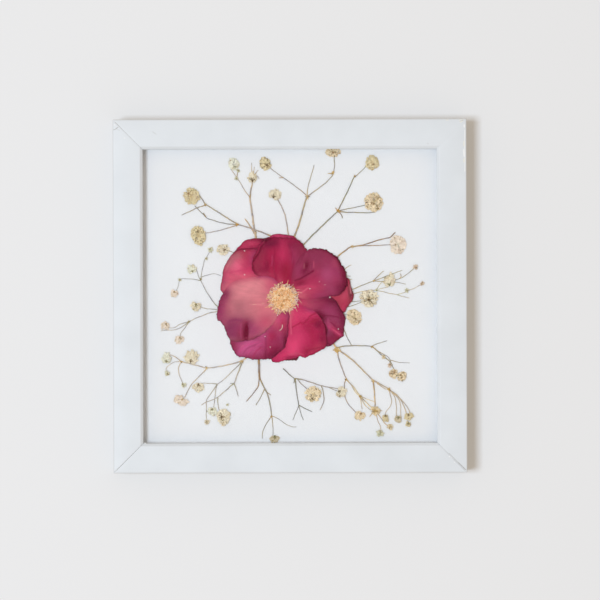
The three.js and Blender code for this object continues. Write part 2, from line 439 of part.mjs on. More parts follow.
// Each spray: level above the card, twigs as [width, ...points], then florets, buds and joints as
// [x, y, half width, half height, turn, lobes].
const SPRAYS = {
  spray_a_lower: { level: 1, twigs: [
    [0.8, [-6.5, 28.5], [-10, 30.3], [-14, 32], [-18, 33.4], [-22, 34.8], [-26.6, 36]],
    [0.55, [-26, 35.9], [-30, 34.6], [-36, 32.9], [-43, 31.6]]],
    florets: [[-46, 30.5, 3.7, 5, 0.25, 4]], joints: [[-26.3, 36, 1.3, 0.8]] },
  spray_a_upper: { level: 1, twigs: [
    [0.65, [-28.3, 37.3], [-30, 38.3], [-36.5, 42.5], [-42, 46], [-43.8, 48.2], [-45.6, 51]],
    [0.55, [-42, 46], [-43.6, 45.3], [-46, 44.7], [-49.5, 43], [-54.4, 40.8]]],
    florets: [[-49.3, 50.3, 4.1, 4.2, 0.3, 5]], joints: [[-42.4, 45.9, 0.9, 0.6, 0.4]] },
  spray_a_middle: { level: 0, twigs: [
    [0.5, [-28.4, 36.1], [-31, 36.3], [-34.8, 37], [-38, 38], [-41.5, 39.2], [-43.4, 41],
      [-46.2, 43.8], [-47.8, 45.6]],
    [0.6, [-42.2, 39.7], [-43.4, 41.9]]], florets: [], joints: [] },
  spray_b_stem: { level: 0, twigs: [
    [1.1, [-16.6, 26], [-17.4, 31], [-18.1, 34.5], [-18.8, 40], [-19.5, 45], [-20.1, 49.3]],
    [0.8, [-17.9, 31.5], [-20, 35.2], [-22.6, 38.9]]], florets: [], joints: [[-17.8, 32, 0.9, 1.4]] },
  spray_b_left: { level: 0, twigs: [
    [0.5, [-20.6, 50.5], [-22.5, 52.8], [-24, 55.5], [-26.2, 59], [-28.2, 61.8], [-29.6, 64]],
    [0.6, [-26.4, 59.4], [-27.9, 58.7]],
    [0.5, [-26.6, 59.5], [-26.3, 62], [-26.8, 64.5]]],
    florets: [[-28.1, 66.4, 2.8, 3, 0.5, 4]], joints: [] },
  spray_b_right: { level: 0, twigs: [
    [0.8, [-19.9, 50.9], [-19.6, 53], [-18.9, 56.5], [-18.7, 60]],
    [0.4, [-19, 60], [-19.2, 67]], [0.4, [-18.4, 60], [-17.8, 65]],
    [0.45, [-18.2, 60], [-16.4, 62.7], [-15.7, 63.3]], [0.4, [-18, 60], [-16.2, 60.3], [-15.3, 58.8]]],
    florets: [[-18.8, 59.6, 1.7, 2.8, 0, 3]], joints: [] },
  spray_c: { level: 0, twigs: [
    [0.7, [0.2, 27.3], [-0.8, 31], [-1.4, 35], [-2.3, 40], [-3.7, 44], [-5, 46.5], [-6.4, 49.4]]],
    florets: [[-7.3, 51.2, 3.4, 2.8, 0.1, 5]], joints: [] },
  spray_d_stem: { level: 0, twigs: [
    [1, [1, 27.3], [2.4, 30.5], [4, 34.5], [5.7, 40], [7.3, 46], [8.7, 50]],
    [0.45, [8.7, 50], [9, 54], [10, 58], [11.2, 62], [12.3, 65.8]],
    [0.55, [8.8, 50], [12, 52.3], [15, 54.5], [18, 56.8], [20, 58.8], [21.6, 60.8], [22.2, 63],
      [22.5, 66], [22.2, 71]],
    [0.6, [21.6, 61.5], [19.1, 61.5]]],
    florets: [[21.7, 72.5, 4, 2.5, 0, 5]], joints: [[8.7, 49.6, 1, 1.5], [21.8, 61.9, 0.8, 1.4]] },
  spray_d_left: { level: 0, twigs: [
    [0.55, [7.3, 51.6], [4, 54.2], [0, 57.2], [-4, 60], [-8, 62.9], [-10.4, 64.9]],
    [0.5, [-3.2, 59.5], [-5.5, 59.3]]],
    florets: [[-12.3, 66.5, 2.8, 3.5, 0.3, 5]], joints: [] },
  spray_e_right: { level: 0, twigs: [
    [0.9, [5, 23.9], [7.4, 26.3], [10.5, 29.7], [14.5, 33.5], [19.5, 38.3], [24.2, 42.6]],
    [0.6, [24.4, 42.6], [26, 40.5], [26.3, 39]], [0.5, [23.9, 43], [22.8, 44.3]],
    [0.5, [24.4, 42.8], [30, 43.9], [34, 44.7], [38.5, 45.8]],
    [0.6, [24.4, 42.5], [28, 42], [33, 41.9], [38, 41.7], [43, 42]]],
    florets: [[42.2, 46.8, 4.7, 4.9, 0.5, 6]], joints: [[24.2, 42.8, 1.2, 1]] },
  spray_e_upper: { level: 0, twigs: [
    [0.65, [25.1, 44.7], [26, 46.5], [28, 50.5], [30, 54.5], [31.5, 58], [32.5, 59.8], [33.8, 60.6]],
    [0.4, [33, 60], [35.5, 62.2], [37.5, 64.2], [39.2, 65.9]]],
    florets: [[41.4, 66.9, 3.4, 4, 0.1, 6]], joints: [] },
  spray_f: { level: 0, twigs: [
    [0.85, [20.5, 17.4], [24, 19.9], [27, 22.2], [30, 24.3], [31.8, 24.8]],
    [0.7, [31.2, 24.7], [35, 25.2], [38, 25.9], [42, 27.2], [46, 28.4], [50, 29.2], [51.2, 30.2],
      [53, 31.8]],
    [0.5, [33, 25], [38, 25.2], [44, 25.3], [51, 25.7]]],
    florets: [[54.2, 25.6, 4.1, 4.9, 0.2, 6]], joints: [[31.2, 24.8, 1.4, 0.9, 0.3]] },
  spray_g_upper: { level: 1, twigs: [
    [0.5, [29.5, 2.3], [32, 3.5], [35, 4.8], [38, 6], [42, 7.5]],
    [0.4, [41.8, 7.4], [44.5, 10.3], [47, 12.4]],
    [0.4, [41.8, 7.4], [46, 8.9], [49, 10.1], [52, 11.2], [55, 12.3], [56.3, 12.8]],
    [0.4, [41.8, 7.4], [46.5, 7.2], [51, 7.4], [55, 8.6], [57, 9.6], [59, 11], [62.9, 14.2]]],
    florets: [[49.7, 7.9, 2.9, 3.4, -0.2, 4]], joints: [[42, 7.5, 0.9, 0.6], [63, 14.3, 1.2, 1.3]] },
  spray_g_lower: { level: 0, twigs: [
    [0.55, [29.5, 0.3], [32.3, 1.2], [36, 2.1], [40, 2.8], [43.3, 2.8]],
    [0.4, [43.2, 2.8], [45, 5.6], [46.6, 7.2]], [0.4, [43.2, 2.8], [46, 3.7], [49.5, 4.4]],
    [0.45, [43.2, 2.7], [47, 2], [50, 1.2], [54, 0.5]],
    [0.4, [53.6, 0.5], [57, 1.5], [60, 2.8], [62.5, 3.8], [66, 5.7]],
    [0.4, [53.6, 0.5], [57, -0.5], [60, -1.2]]],
    florets: [], joints: [[43.2, 2.8, 0.8, 0.8], [58.5, 2.6, 1, 1.1], [66.3, 6, 1.2, 1.2]] },
  spray_g_floret: { level: 1, twigs: [
    [0.4, [27.5, -5.9], [32.5, -4.5], [36, -3]], [0.4, [30, -3.1], [36, -2.5]]],
    florets: [[39.6, -1.3, 4.5, 4.5, 0.2, 6]], joints: [] },
  floret_right: { level: 0, twigs: [[0.4, [24.5, -9.6], [27, -9.3], [30, -9.2]]],
    florets: [[32.3, -10.6, 3.7, 4.1, 0.6, 5]], joints: [] },
  spray_h_fan: { level: 1, twigs: [
    [1, [19, -20.5], [21.5, -23.8], [23.3, -26.6]],
    [0.85, [23.1, -26.3], [28, -29.8], [32, -33], [36, -37], [39, -40], [41.7, -42.7]],
    [0.7, [41.5, -42.5], [45, -44.3], [49.3, -46.8]], [0.4, [43.5, -44], [47, -46.4], [49.3, -47.2]],
    [0.35, [49.3, -46.9], [50.2, -50], [50.8, -53], [50, -55.8], [48.1, -58], [47.2, -61]],
    [0.35, [49.3, -46.9], [52, -50], [53, -54], [53.2, -58], [53.2, -61.5]],
    [0.35, [49.3, -46.9], [53.5, -50.8], [55.2, -54.5], [55.4, -61.5]],
    [0.45, [49.3, -46.9], [54, -50.4], [57, -55.5], [58.4, -60]],
    [0.4, [49.3, -46.9], [55, -51.5], [59, -56.5], [60.2, -60]]],
    florets: [[59.3, -61.6, 1.7, 3.2, 0.1, 3], [54, -62.3, 1.9, 1.9, 0, 4], [47.4, -61.9, 1.2, 2.1, 0, 3]],
    joints: [[23.2, -26.6, 1, 1.3], [41.6, -42.6, 1, 0.8], [49.4, -46.9, 1.2, 0.9]] },
  spray_h_right: { level: 0, twigs: [
    [0.7, [25.1, -25.6], [28, -25.2], [33, -25], [39, -25.2], [41.5, -25.5]],
    [0.5, [25.6, -14], [27.5, -17.8], [28.2, -20], [29.5, -22.5], [30.9, -25]],
    [0.45, [41, -25.3], [44, -24], [48.7, -22.6]],
    [0.6, [41.1, -25.2], [44, -28], [46.3, -30.2], [49.3, -32.3], [50.6, -34], [52.3, -37.5]],
    [0.4, [43.8, -27.8], [47.5, -29.7], [49.6, -31.3], [51.3, -35]],
    [0.35, [50, -32.3], [55, -33.5], [60, -33.7]]],
    florets: [[53.9, -39.7, 3.4, 3.2, 0.2, 6]], joints: [[41.1, -25.5, 0.9, 0.7]] },
  spray_h_cluster: { level: 0, twigs: [
    [0.8, [41.7, -43.9], [42, -46], [42.3, -50], [42.5, -54], [42.5, -57]],
    [0.45, [42.5, -57], [46.2, -57.9]],
    [0.5, [42.6, -57.5], [45, -60.7], [47, -63.6], [49.6, -66]],
    [0.4, [42.6, -57.5], [44, -63], [45.3, -66], [45.4, -69]], [0.5, [42, -57.5], [39.8, -60.8]]],
    florets: [], joints: [[42.3, -57.4, 1.8, 1.5], [45.1, -69, 2, 1.2], [50, -65.9, 1.4, 1.6]] },
  spray_h_down: { level: 0, twigs: [
    [0.7, [23.8, -28.4], [24.2, -31], [25.5, -35], [27, -39], [28.2, -41.9]],
    [0.55, [28.2, -41.6], [27.3, -43.5], [27.2, -46], [27.4, -50], [28.3, -53], [30, -55.5],
      [33.2, -58.9]]],
    florets: [[34.8, -60.3, 2.9, 2.5, 0.4, 5]], joints: [[28.1, -41.9, 0.7, 0.9]] },
  spray_h_inner: { level: 1, twigs: [
    [0.6, [28.9, -42.9], [31.5, -45.6], [35.1, -50.5]], [0.4, [30.6, -44.9], [33, -48.8], [35, -50.5]],
    [0.6, [35, -50.4], [38.5, -54], [41, -56.4]], [0.4, [35, -50.6], [37.5, -55], [40.2, -57.4]],
    [0.35, [35, -50.6], [35.6, -54.5], [36, -57]], [0.4, [35, -50.4], [39.3, -52.2], [42, -53.2]]],
    florets: [], joints: [[35.1, -50.5, 1.2, 1]] },
  spray_i_stem: { level: 0, twigs: [
    [0.65, [-3.6, -36.4], [0, -39.8], [2.4, -41.8]],
    [0.6, [2.4, -41.8], [2.7, -44], [3.1, -48], [3.9, -53], [4.3, -55.5]],
    [0.4, [4.3, -55], [2.6, -59], [1.2, -62.3]], [0.4, [4.3, -55], [5.2, -58.8], [6.5, -62.3]],
    [0.5, [4.3, -54.9], [8, -56.8], [10.9, -58.2]], [0.6, [2.4, -41.8], [1.8, -43.7]]],
    florets: [], joints: [[2.4, -41.8, 0.9, 0.7]] },
  spray_i_right: { level: 1, twigs: [
    [0.45, [3.5, -41.7], [5.5, -44.2], [8.6, -46.8]],
    [0.6, [3.5, -41.5], [7, -42.3], [11, -43.6], [15.5, -45.1], [19, -45.8], [24, -46.6]],
    [0.35, [19, -45.8], [23.6, -47.9]],
    [0.45, [15.5, -45.1], [16.4, -48], [16.8, -52], [16.3, -54.2], [14.8, -57.3]]],
    florets: [[11.4, -49.3, 4.1, 3.8, 0, 5], [25.4, -48.3, 2.9, 2.7, 0.3, 4]], joints: [] },
  spray_j_stem: { level: 0, twigs: [
    [1.3, [-15.4, -28], [-15.8, -32], [-15.7, -36], [-15.6, -40], [-15.3, -42]],
    [0.6, [-15.6, -41], [-15.9, -44], [-16.4, -45.7], [-18.5, -48.7], [-22, -52.8]]],
    florets: [], joints: [] },
  spray_j_tip: { level: 0, twigs: [
    [0.75, [-14.5, -43.2], [-13.6, -45], [-12.5, -47.3], [-11.5, -49.2], [-10.3, -54], [-9.7, -58],
      [-9.4, -60.4]],
    [0.5, [-12.9, -46.4], [-14.5, -50], [-17.3, -54.8]], [0.45, [-12, -48], [-9.8, -49.8]],
    [0.45, [-9.4, -60.2], [-12, -64], [-13.8, -67.7], [-14.2, -71.5]],
    [0.4, [-9.4, -60.2], [-8.9, -64], [-8.7, -70.5]],
    [0.35, [-9.4, -60.2], [-6.5, -61.4], [-2, -64.5], [1, -65.7], [3, -65.7]]],
    florets: [[-7.9, -71.7, 2.6, 1.9, 0, 3]], joints: [[-9.5, -60.4, 0.7, 0.8]] },
  spray_k_left: { level: 1, twigs: [
    [0.9, [-18.5, -28], [-21.2, -30.2], [-24.5, -32.7]],
    [0.75, [-24.3, -32.6], [-27, -33.4], [-32, -34.6], [-37, -35.5], [-41.5, -36], [-45, -35.3],
      [-48, -34.5], [-51, -33.7], [-55, -32.8]],
    [0.5, [-54.6, -32.9], [-57, -31], [-60, -29.4], [-61.7, -30.2]],
    [0.35, [-54.8, -32.9], [-58, -32.9], [-60, -34], [-62.3, -35.8], [-62.2, -38]],
    [0.35, [-54.8, -32.9], [-56.2, -36], [-55.9, -39], [-55, -41.5], [-53.9, -44]],
    [0.5, [-41.8, -36], [-43.5, -37.9], [-46, -40.4], [-49.8, -44.4], [-52, -48.5], [-53.4, -51]]],
    florets: [[-49.6, -30.4, 3.5, 3.6, 0, 4], [-61.9, -30.7, 1.8, 2.9, 0, 3],
      [-54.9, -52.4, 3.9, 2.6, -0.2, 4]],
    joints: [[-24.3, -32.7, 1.2, 0.9], [-54.7, -32.8, 0.9, 0.6], [-42, -35.9, 0.9, 0.6],
      [-61.9, -38.8, 1.3, 1.3], [-53.7, -44.6, 1.2, 1.2]] },
  spray_k_middle: { level: 0, twigs: [
    [0.55, [-25.7, -34.4], [-28, -36.6], [-30, -38.5], [-33, -41.5], [-36.8, -44.4]],
    [0.45, [-36.6, -44.1], [-40, -43.8], [-44, -43.7], [-46.3, -44.4]],
    [0.5, [-36.6, -44.2], [-38, -46], [-40, -49], [-42, -51.8], [-42.2, -55], [-42.2, -58]],
    [0.35, [-42.2, -57.7], [-42.3, -60], [-42, -62.7]], [0.45, [-42.2, -57.8], [-40.2, -57.9]],
    [0.45, [-36.7, -44.3], [-37.5, -47], [-37.9, -51], [-38.6, -56.2]]],
    florets: [[-46.3, -45.9, 3.2, 2.2, 0, 4], [-39.5, -57.9, 1.9, 2, 0, 4]],
    joints: [[-41.9, -63.1, 1.3, 1.2]] },
  spray_k_down: { level: 1, twigs: [
    [0.65, [-24.7, -34.3], [-25.5, -36.5], [-26.5, -39], [-27.6, -42], [-28.3, -44.2]],
    [0.55, [-28.2, -43.8], [-30, -45.1], [-33, -47.8], [-37.5, -51.3], [-42, -53], [-44.7, -54.6]],
    [0.4, [-28.2, -44], [-27.4, -46.2], [-26.2, -50.3]], [0.5, [-28.2, -43.8], [-30.2, -43.8]],
    [0.4, [-36.4, -50.4], [-36.5, -54], [-35.6, -58]]],
    florets: [[-33.7, -60.6, 3.5, 4.1, 0, 5]], joints: [[-33.8, -64, 0.9, 2]] },
  spray_l: { level: 0, twigs: [
    [0.6, [-33, -6.8], [-37, -7.8], [-40, -8.2], [-44, -9.7], [-48, -11.3], [-51, -12.9]],
    [0.45, [-50.6, -12.7], [-55, -13.9], [-58.6, -15.8], [-62.4, -15.5]],
    [0.45, [-50.8, -12.8], [-54.5, -15.4], [-58, -16.8], [-62, -17], [-65, -17.3]],
    [0.45, [-50.8, -12.8], [-53, -16], [-54.8, -18.3], [-55.5, -20.8]]],
    florets: [[-62.9, -14.8, 2.4, 2, 0, 4], [-55.6, -21.8, 2.4, 2, 0, 3]],
    joints: [[-50.8, -12.8, 0.9, 0.7]] },
  floret_lower_left: { level: 1, twigs: [[0.4, [-33, -7.1], [-38, -6.6], [-42, -6.2], [-45.6, -5.3]]],
    florets: [[-47.4, -4.8, 2.5, 2.8, 0, 4]], joints: [] },
  spray_m: { level: 0, twigs: [
    [0.6, [-35.7, -5.4], [-37.6, -4.2], [-39.5, -1.5], [-42, 2.3], [-44.9, 8]],
    [0.45, [-44.8, 7.6], [-44.6, 10.8], [-43.9, 14], [-43, 18], [-42, 19.6], [-40.1, 22.7]],
    [0.4, [-44.8, 7.8], [-46, 10], [-46.6, 12.5], [-47.6, 14]],
    [0.45, [-44.7, 7.8], [-48, 8.5], [-52, 8.8], [-54.6, 8.7], [-55.8, 7.4], [-56.2, 5], [-57.4, 2.4]],
    [0.4, [-44.6, 9.6], [-41, 10.8], [-38, 11.3], [-36, 10.8], [-34.8, 10.3]]],
    florets: [[-49.4, 13.7, 2.4, 2.3, 0, 4], [-58.3, 1.5, 2, 1.9, 0, 4]],
    joints: [[-39.9, 23.5, 1.3, 1.3], [-44.8, 8.6, 0.7, 0.9]] },
  floret_upper_left: { level: 0, twigs: [[0.4, [-32, 23.3], [-28.5, 22], [-26, 20.5]]],
    florets: [[-33.6, 23.4, 3.2, 2.8, 0.2, 5]], joints: [] },
};

function spray(name, { level, twigs, florets, joints }, bed) {
  const base = CARD_GAP + level * LEVEL_STEP;
  const top = base + TWIG_THICKNESS + 5 * TWIG_STAGGER;
  const pieces = twigs.map(([width, ...points], i) => {
    const height = base + TWIG_THICKNESS / 2 + TWIG_STAGGER * (i % 5);
    return twigGeometry({ width, points }, height);
  });
  for (const floret of florets) pieces.push(headGeometry(floret, base, FLORET_THICKNESS));
  for (const joint of joints) pieces.push(headGeometry(joint, base, JOINT_THICKNESS));
  for (const [width, ...points] of twigs) {
    const curve = new THREE.CatmullRomCurve3(points.map(([x, y]) => new THREE.Vector3(x, y, 0)));
    for (const { x, y } of curve.getSpacedPoints(24)) bed.addDisc(x, y, width / 2 + TWIG_ROOM, top);
  }
  return node(name, toGeometry(unite(pieces)), stalk(florets.length ? 0xc9b48c : 0x9a8462));
}

// ---- the whole picture ----------------------------------------------------------------------
function moulding() {
  const group = new THREE.Group();
  group.add(rail('frame_rail_top', 0, [-TAB.along, TAB.along]));
  group.add(rail('frame_rail_left', Math.PI / 2, []));
  group.add(rail('frame_rail_bottom', Math.PI, [-TAB.along, TAB.along]));
  group.add(rail('frame_rail_right', -Math.PI / 2, []));
  return group;
}

function backHardware() {
  const group = new THREE.Group();
  group.add(retainingTab('retaining_tab_top_left', -TAB.along, 0));
  group.add(retainingTab('retaining_tab_top_right', TAB.along, 0));
  group.add(retainingTab('retaining_tab_bottom_left', TAB.along, Math.PI));
  group.add(retainingTab('retaining_tab_bottom_right', -TAB.along, Math.PI));
  group.add(sawtoothHanger(), rivet('hanger_rivet_left', -rivetX), rivet('hanger_rivet_right', rivetX));
  return group;
}

function pressedFlowers() {
  const group = new THREE.Group();
  const bed = new Bed(50, 1);
  for (const [name, plan] of Object.entries(SPRAYS)) group.add(spray(name, plan, bed));
  for (const plan of PETALS) {
    const geometry = petalGeometry(plan, bed);
    layPetal(geometry, bed);
    group.add(node(plan.name, toGeometry(toSolid(geometry)), petal(plan.color)));
  }
  group.add(node('rose_stamens', stamenGeometry(bed), stalk(0xb58a4a)));
  group.position.z = cardFront;
  return group;
}

const picture = new THREE.Group();
picture.name = 'pressed_flower_frame';
const lying = new THREE.Group();
lying.add(moulding(), pane(), card(), board(), backHardware(), pressedFlowers());
lying.rotation.x = Math.PI / 2;
lying.position.z = -HANG_DROP;
picture.add(lying);

export default picture;
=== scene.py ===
"""Looks of a framed pressed rose with baby's breath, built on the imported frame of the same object."""

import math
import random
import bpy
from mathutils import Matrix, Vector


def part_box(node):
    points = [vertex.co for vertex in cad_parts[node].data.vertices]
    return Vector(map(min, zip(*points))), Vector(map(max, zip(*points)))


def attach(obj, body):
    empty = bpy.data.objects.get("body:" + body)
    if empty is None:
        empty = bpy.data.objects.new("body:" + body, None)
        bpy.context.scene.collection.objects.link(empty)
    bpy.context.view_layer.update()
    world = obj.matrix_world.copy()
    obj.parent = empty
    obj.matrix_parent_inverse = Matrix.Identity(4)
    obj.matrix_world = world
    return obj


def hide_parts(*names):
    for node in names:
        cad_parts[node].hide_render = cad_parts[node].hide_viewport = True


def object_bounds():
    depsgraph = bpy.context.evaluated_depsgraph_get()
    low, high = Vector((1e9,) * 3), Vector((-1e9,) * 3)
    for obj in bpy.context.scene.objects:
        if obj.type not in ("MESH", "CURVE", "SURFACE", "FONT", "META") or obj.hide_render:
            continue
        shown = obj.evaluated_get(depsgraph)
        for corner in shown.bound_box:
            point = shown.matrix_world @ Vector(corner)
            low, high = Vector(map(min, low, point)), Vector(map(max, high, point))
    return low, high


bl_info = {
    "name": "Pressed Flower Frame",
    "version": (1, 0, 0),
    "blender": (4, 5, 0),
    "location": "View3D > Sidebar > Pressed Flower",
    "description": "Builds a small white frame with a pressed rose and baby's breath behind its glass",
    "category": "Add Mesh",
}

from collections import namedtuple

import bpy
import numpy as np
from bpy.props import FloatProperty, FloatVectorProperty, IntProperty, PointerProperty

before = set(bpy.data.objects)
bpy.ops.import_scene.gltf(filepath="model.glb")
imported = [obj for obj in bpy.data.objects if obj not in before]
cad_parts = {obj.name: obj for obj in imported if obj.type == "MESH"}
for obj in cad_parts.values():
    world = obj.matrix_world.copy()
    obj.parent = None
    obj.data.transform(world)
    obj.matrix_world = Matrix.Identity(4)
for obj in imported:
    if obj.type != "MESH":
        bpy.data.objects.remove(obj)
CAD_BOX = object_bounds()

# ---- where things are ----
# Flowers are placed in millimetres: x and z from the middle of the picture, height above the card.
MM = 0.001
PANE_LOW, PANE_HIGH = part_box("glass_pane")

HALF_SIDE = (CAD_BOX[1].x - CAD_BOX[0].x) / 2 / MM
FACE = -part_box("frame_rail_top")[0].y / MM      # front face of the moulding, from the wall
LIP_BACK = -PANE_LOW.y / MM + 0.2       # back of the lip, a hair in front of the glass
CARD_FACE = -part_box("backing_card")[0].y / MM
MIDDLE = (PANE_LOW.z + PANE_HIGH.z) / 2 / MM

RAIL_WIDTH = 14.9
RABBET_WIDTH = 2.6
BEVEL_WIDTH = 1.3
BEVEL_DROP = 1.1
ARRIS = 0.8                             # radius of the outer arris of the face
SMALL_ARRIS = 0.25
COAT = 0.06                             # thickness of the paint, worn through in places

PETAL_THICKNESS = 0.09
RIM_STEP = 0.34                         # spacing of the points along a petal's margin
CREASE_STEP = 0.3                       # spacing of the points along a crease or loose thread
TWIG_STEP = 0.55                        # spacing of the points along a twig
VEIN_ACROSS, VEIN_ALONG = 18, 12        # noise cells to a radian of the petal fan, and how many
                                        # mm one cell runs along it
NARROW, FOLD_RISE = 0.45, 0.12          # creases up to this width stand up as a fold, this high
ROSE_HEART = (-3.5, -1.2)               # where the petals meet
LEVEL_STEP = 0.45                       # sprigs that cross lie on levels this far apart
SHEET_CELL = 0.5                        # cell of the height grid under the petals
SHEET_REACH = 44.0


def place(points):
    """Points (x, z, height above the card) in mm to points in the frame, in metres."""
    p = np.asarray(points, float).reshape(-1, 3)
    return np.column_stack([p[:, 0], -(CARD_FACE + p[:, 2]), p[:, 1] + MIDDLE]) * MM


# ---- colours ----
def linear(hex_colour):
    """An sRGB hex colour as linear red, green and blue."""
    channels = [int(hex_colour[i:i + 2], 16) / 255 for i in (1, 3, 5)]
    return tuple(c / 12.92 if c <= 0.04045 else ((c + 0.055) / 1.055) ** 2.4 for c in channels)


ROSE_DYES = {name: np.array(linear(code)) for name, code in {
    "oxblood": "#721030", "maroon": "#7b153a", "wine": "#8e1b40", "crimson": "#a11d3f",
    "carmine": "#b0224c", "cerise": "#c4315e", "rose_red": "#c3335a", "bright_rose": "#de4470",
    "hot_pink": "#ec3f72", "magenta": "#d34e84", "orchid": "#e56297", "plum": "#97304f",
    "mulberry": "#a63b64", "mauve": "#b24870", "old_rose": "#cc526f", "salmon": "#dc7380",
    "dusty_pink": "#e68b93", "faded": "#d17b84", "shell": "#e96c88", "brick": "#b93d54",
    "dried_edge": "#7a333f", "ruby": "#cf3f6a", "grape": "#943658", "thistle": "#cc598a",
    "violet": "#94395e", "dusky": "#b56a74", "garnet": "#992f4a", "sunned": "#be4f68"}.items()}

SPRIG_DYES = {name: np.array(linear(code)) for name, code in {
    # stems and joints
    "gold": "#b08d52", "amber": "#b98a45", "honey": "#cba768", "russet": "#9a6a3c", "umber": "#6f5638",
    "walnut": "#5a4128", "olive": "#7c7748", "moss": "#8d8a55", "tan": "#a98b62", "khaki": "#948a62",
    "sage": "#8b8a72", "grey": "#85827b", "clay": "#bfae9f", "stone": "#a8a09b", "flax": "#a69a82",
    "drab": "#947a62", "hay": "#988f68", "reed": "#9c9682", "oat": "#c3ae90", "biscuit": "#c1a788",
    "taupe": "#a99a90", "dun": "#c4b7a7", "pewter": "#bab7b3", "fawn": "#a8a096", "slate": "#8d8890",
    # florets and buds
    "cream": "#f2e5ca", "ivory": "#efebd6", "blush": "#f4e2cf", "peach": "#f3ddb9", "buff": "#e6d4aa",
    "straw": "#dec392", "chalk": "#e9e4d6", "fern": "#c9c8a6", "rosy_tan": "#cfae95",
    "gold_tan": "#c8a46e", "parchment": "#dccbab"}.items()}


# ---- meshes ----
class Heap:
    """Collects small shapes with a colour at each point into one mesh."""

    def __init__(self):
        self.points, self.faces, self.colours, self.count = [], [], [], 0

    def add(self, points, faces, colours):
        points = np.asarray(points, float).reshape(-1, 3)
        colours = np.broadcast_to(np.asarray(colours, float), (len(points), 3))
        self.points.append(points)
        self.colours.append(colours)
        self.faces.extend([tuple(i + self.count for i in face) for face in faces])
        self.count += len(points)

    def make(self, name, material):
        """A piece from everything in the heap, placed in the frame."""
        points, colours = np.vstack(self.points), np.vstack(self.colours)
        return make_piece(name, place(points), self.faces, material, colours)


def make_piece(name, points, faces, material, colours=None, veins=None, sharp_deg=60):
    """A smooth-shaded piece that rides on the frame, with its dye and vein attributes."""
    mesh = bpy.data.meshes.new(name)
    mesh.from_pydata([tuple(p) for p in points], [], faces)
    mesh.materials.append(material)
    mesh.shade_smooth()
    mesh.set_sharp_from_angle(angle=math.radians(sharp_deg))
    if colours is not None:
        dye = mesh.color_attributes.new("dye", "FLOAT_COLOR", "POINT")
        dye.data.foreach_set("color", np.column_stack([colours, np.ones(len(colours))]).ravel())
    if veins is not None:
        vein = mesh.attributes.new("vein", "FLOAT_VECTOR", "POINT")
        vein.data.foreach_set("vector", np.asarray(veins, float).ravel())
    piece = bpy.data.objects.new(name, mesh)
    bpy.context.scene.collection.objects.link(piece)
    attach(piece, "root")
    return piece


def grid_faces(rows, columns, closed=False):
    """Quads over rows of points, each row with that many points, closed round or not."""
    last = columns if closed else columns - 1
    return [(r * columns + c, r * columns + (c + 1) % columns,
             (r + 1) * columns + (c + 1) % columns, (r + 1) * columns + c)
            for r in range(rows - 1) for c in range(last)]


def curve_through(points, spacing, closed=False):
    """Evenly spaced points on a smooth curve through given ones."""
    p = np.asarray(points, float)
    if closed:
        ends = np.vstack([p[-1], p, p[0], p[1]])
    else:
        ends = np.vstack([2 * p[0] - p[1], p, 2 * p[-1] - p[-2]])
    u = np.linspace(0, 1, 16, endpoint=False)[:, None]
    parts = []
    for a, b, c, d in zip(ends[:-3], ends[1:-2], ends[2:-1], ends[3:]):
        parts.append(0.5 * (2 * b + (c - a) * u + (2 * a - 5 * b + 4 * c - d) * u ** 2
                            + (3 * b - a - 3 * c + d) * u ** 3))
    fine = np.vstack(parts + [ends[-2][None]])
    length = np.concatenate([[0], np.cumsum(np.linalg.norm(np.diff(fine, axis=0), axis=1))])
    count = max(3, int(round(length[-1] / spacing)) + 1)
    at = np.linspace(0, length[-1], count)
    even = np.column_stack([np.interp(at, length, fine[:, i]) for i in range(fine.shape[1])])
    return even[:-1] if closed else even


def turned(u, v, angle):
    """u and v turned by an angle."""
    c, s = math.cos(angle), math.sin(angle)
    return u * c - v * s, u * s + v * c


def ripple(along, wavelengths, heights, rng):
    """A sum of sine waves with chance phases."""
    return sum(h * np.sin(math.tau * along / w + rng.uniform(0, 6.3))
               for w, h in zip(wavelengths, heights))


# ---- materials ----
def new_material(name):
    """An empty material and its node tree."""
    material = bpy.data.materials.new(name)
    material.use_nodes = True
    material.node_tree.nodes.clear()
    return material, material.node_tree


def add(tree, kind, inputs=None, **settings):
    """Adds a node; inputs maps a socket to a value or to the socket that feeds it."""
    node = tree.nodes.new("ShaderNode" + kind)
    for name, value in settings.items():
        setattr(node, name, value)
    for name, value in (inputs or {}).items():
        if isinstance(value, bpy.types.NodeSocket):
            tree.links.new(value, node.inputs[name])
        else:
            node.inputs[name].default_value = value
    return node


def millimetres(tree):
    """Object coordinates in millimetres."""
    place_of = add(tree, "TexCoord").outputs["Object"]
    return add(tree, "Mapping", {"Vector": place_of, "Scale": (1000, 1000, 1000)}).outputs[0]


def noise(tree, where, size_mm, detail, roughness=0.5, **more):
    """Noise with features of about this size."""
    return add(tree, "TexNoise", {"Vector": where, "Scale": 1 / size_mm, "Detail": detail,
                                  "Roughness": roughness, **more}).outputs["Fac"]


def ramp(tree, value, *stops):
    """A colour that runs between two stops of position and linear colour."""
    node = add(tree, "ValToRGB", {"Fac": value})
    for element, (position, colour) in zip(node.color_ramp.elements, stops):
        element.position, element.color = position, (*colour, 1)
    return node.outputs["Color"]


def spread(tree, value, low, high, least=0.0, most=1.0):
    """A value brought from the range least to most to the range low to high."""
    return add(tree, "MapRange", {"Value": value, "From Min": least, "From Max": most,
                                  "To Min": low, "To Max": high}).outputs[0]


def both(tree, one, other, operation):
    """Two values added, multiplied or otherwise joined."""
    return add(tree, "Math", {0: one, 1: other}, operation=operation).outputs[0]


def attribute(tree, name, output):
    """An attribute of the mesh, such as its dye."""
    return add(tree, "Attribute", attribute_name=name).outputs[output]


def finish_material(tree, shader):
    """Ends a material in a surface shader."""
    add(tree, "OutputMaterial", {"Surface": shader.outputs[0]})


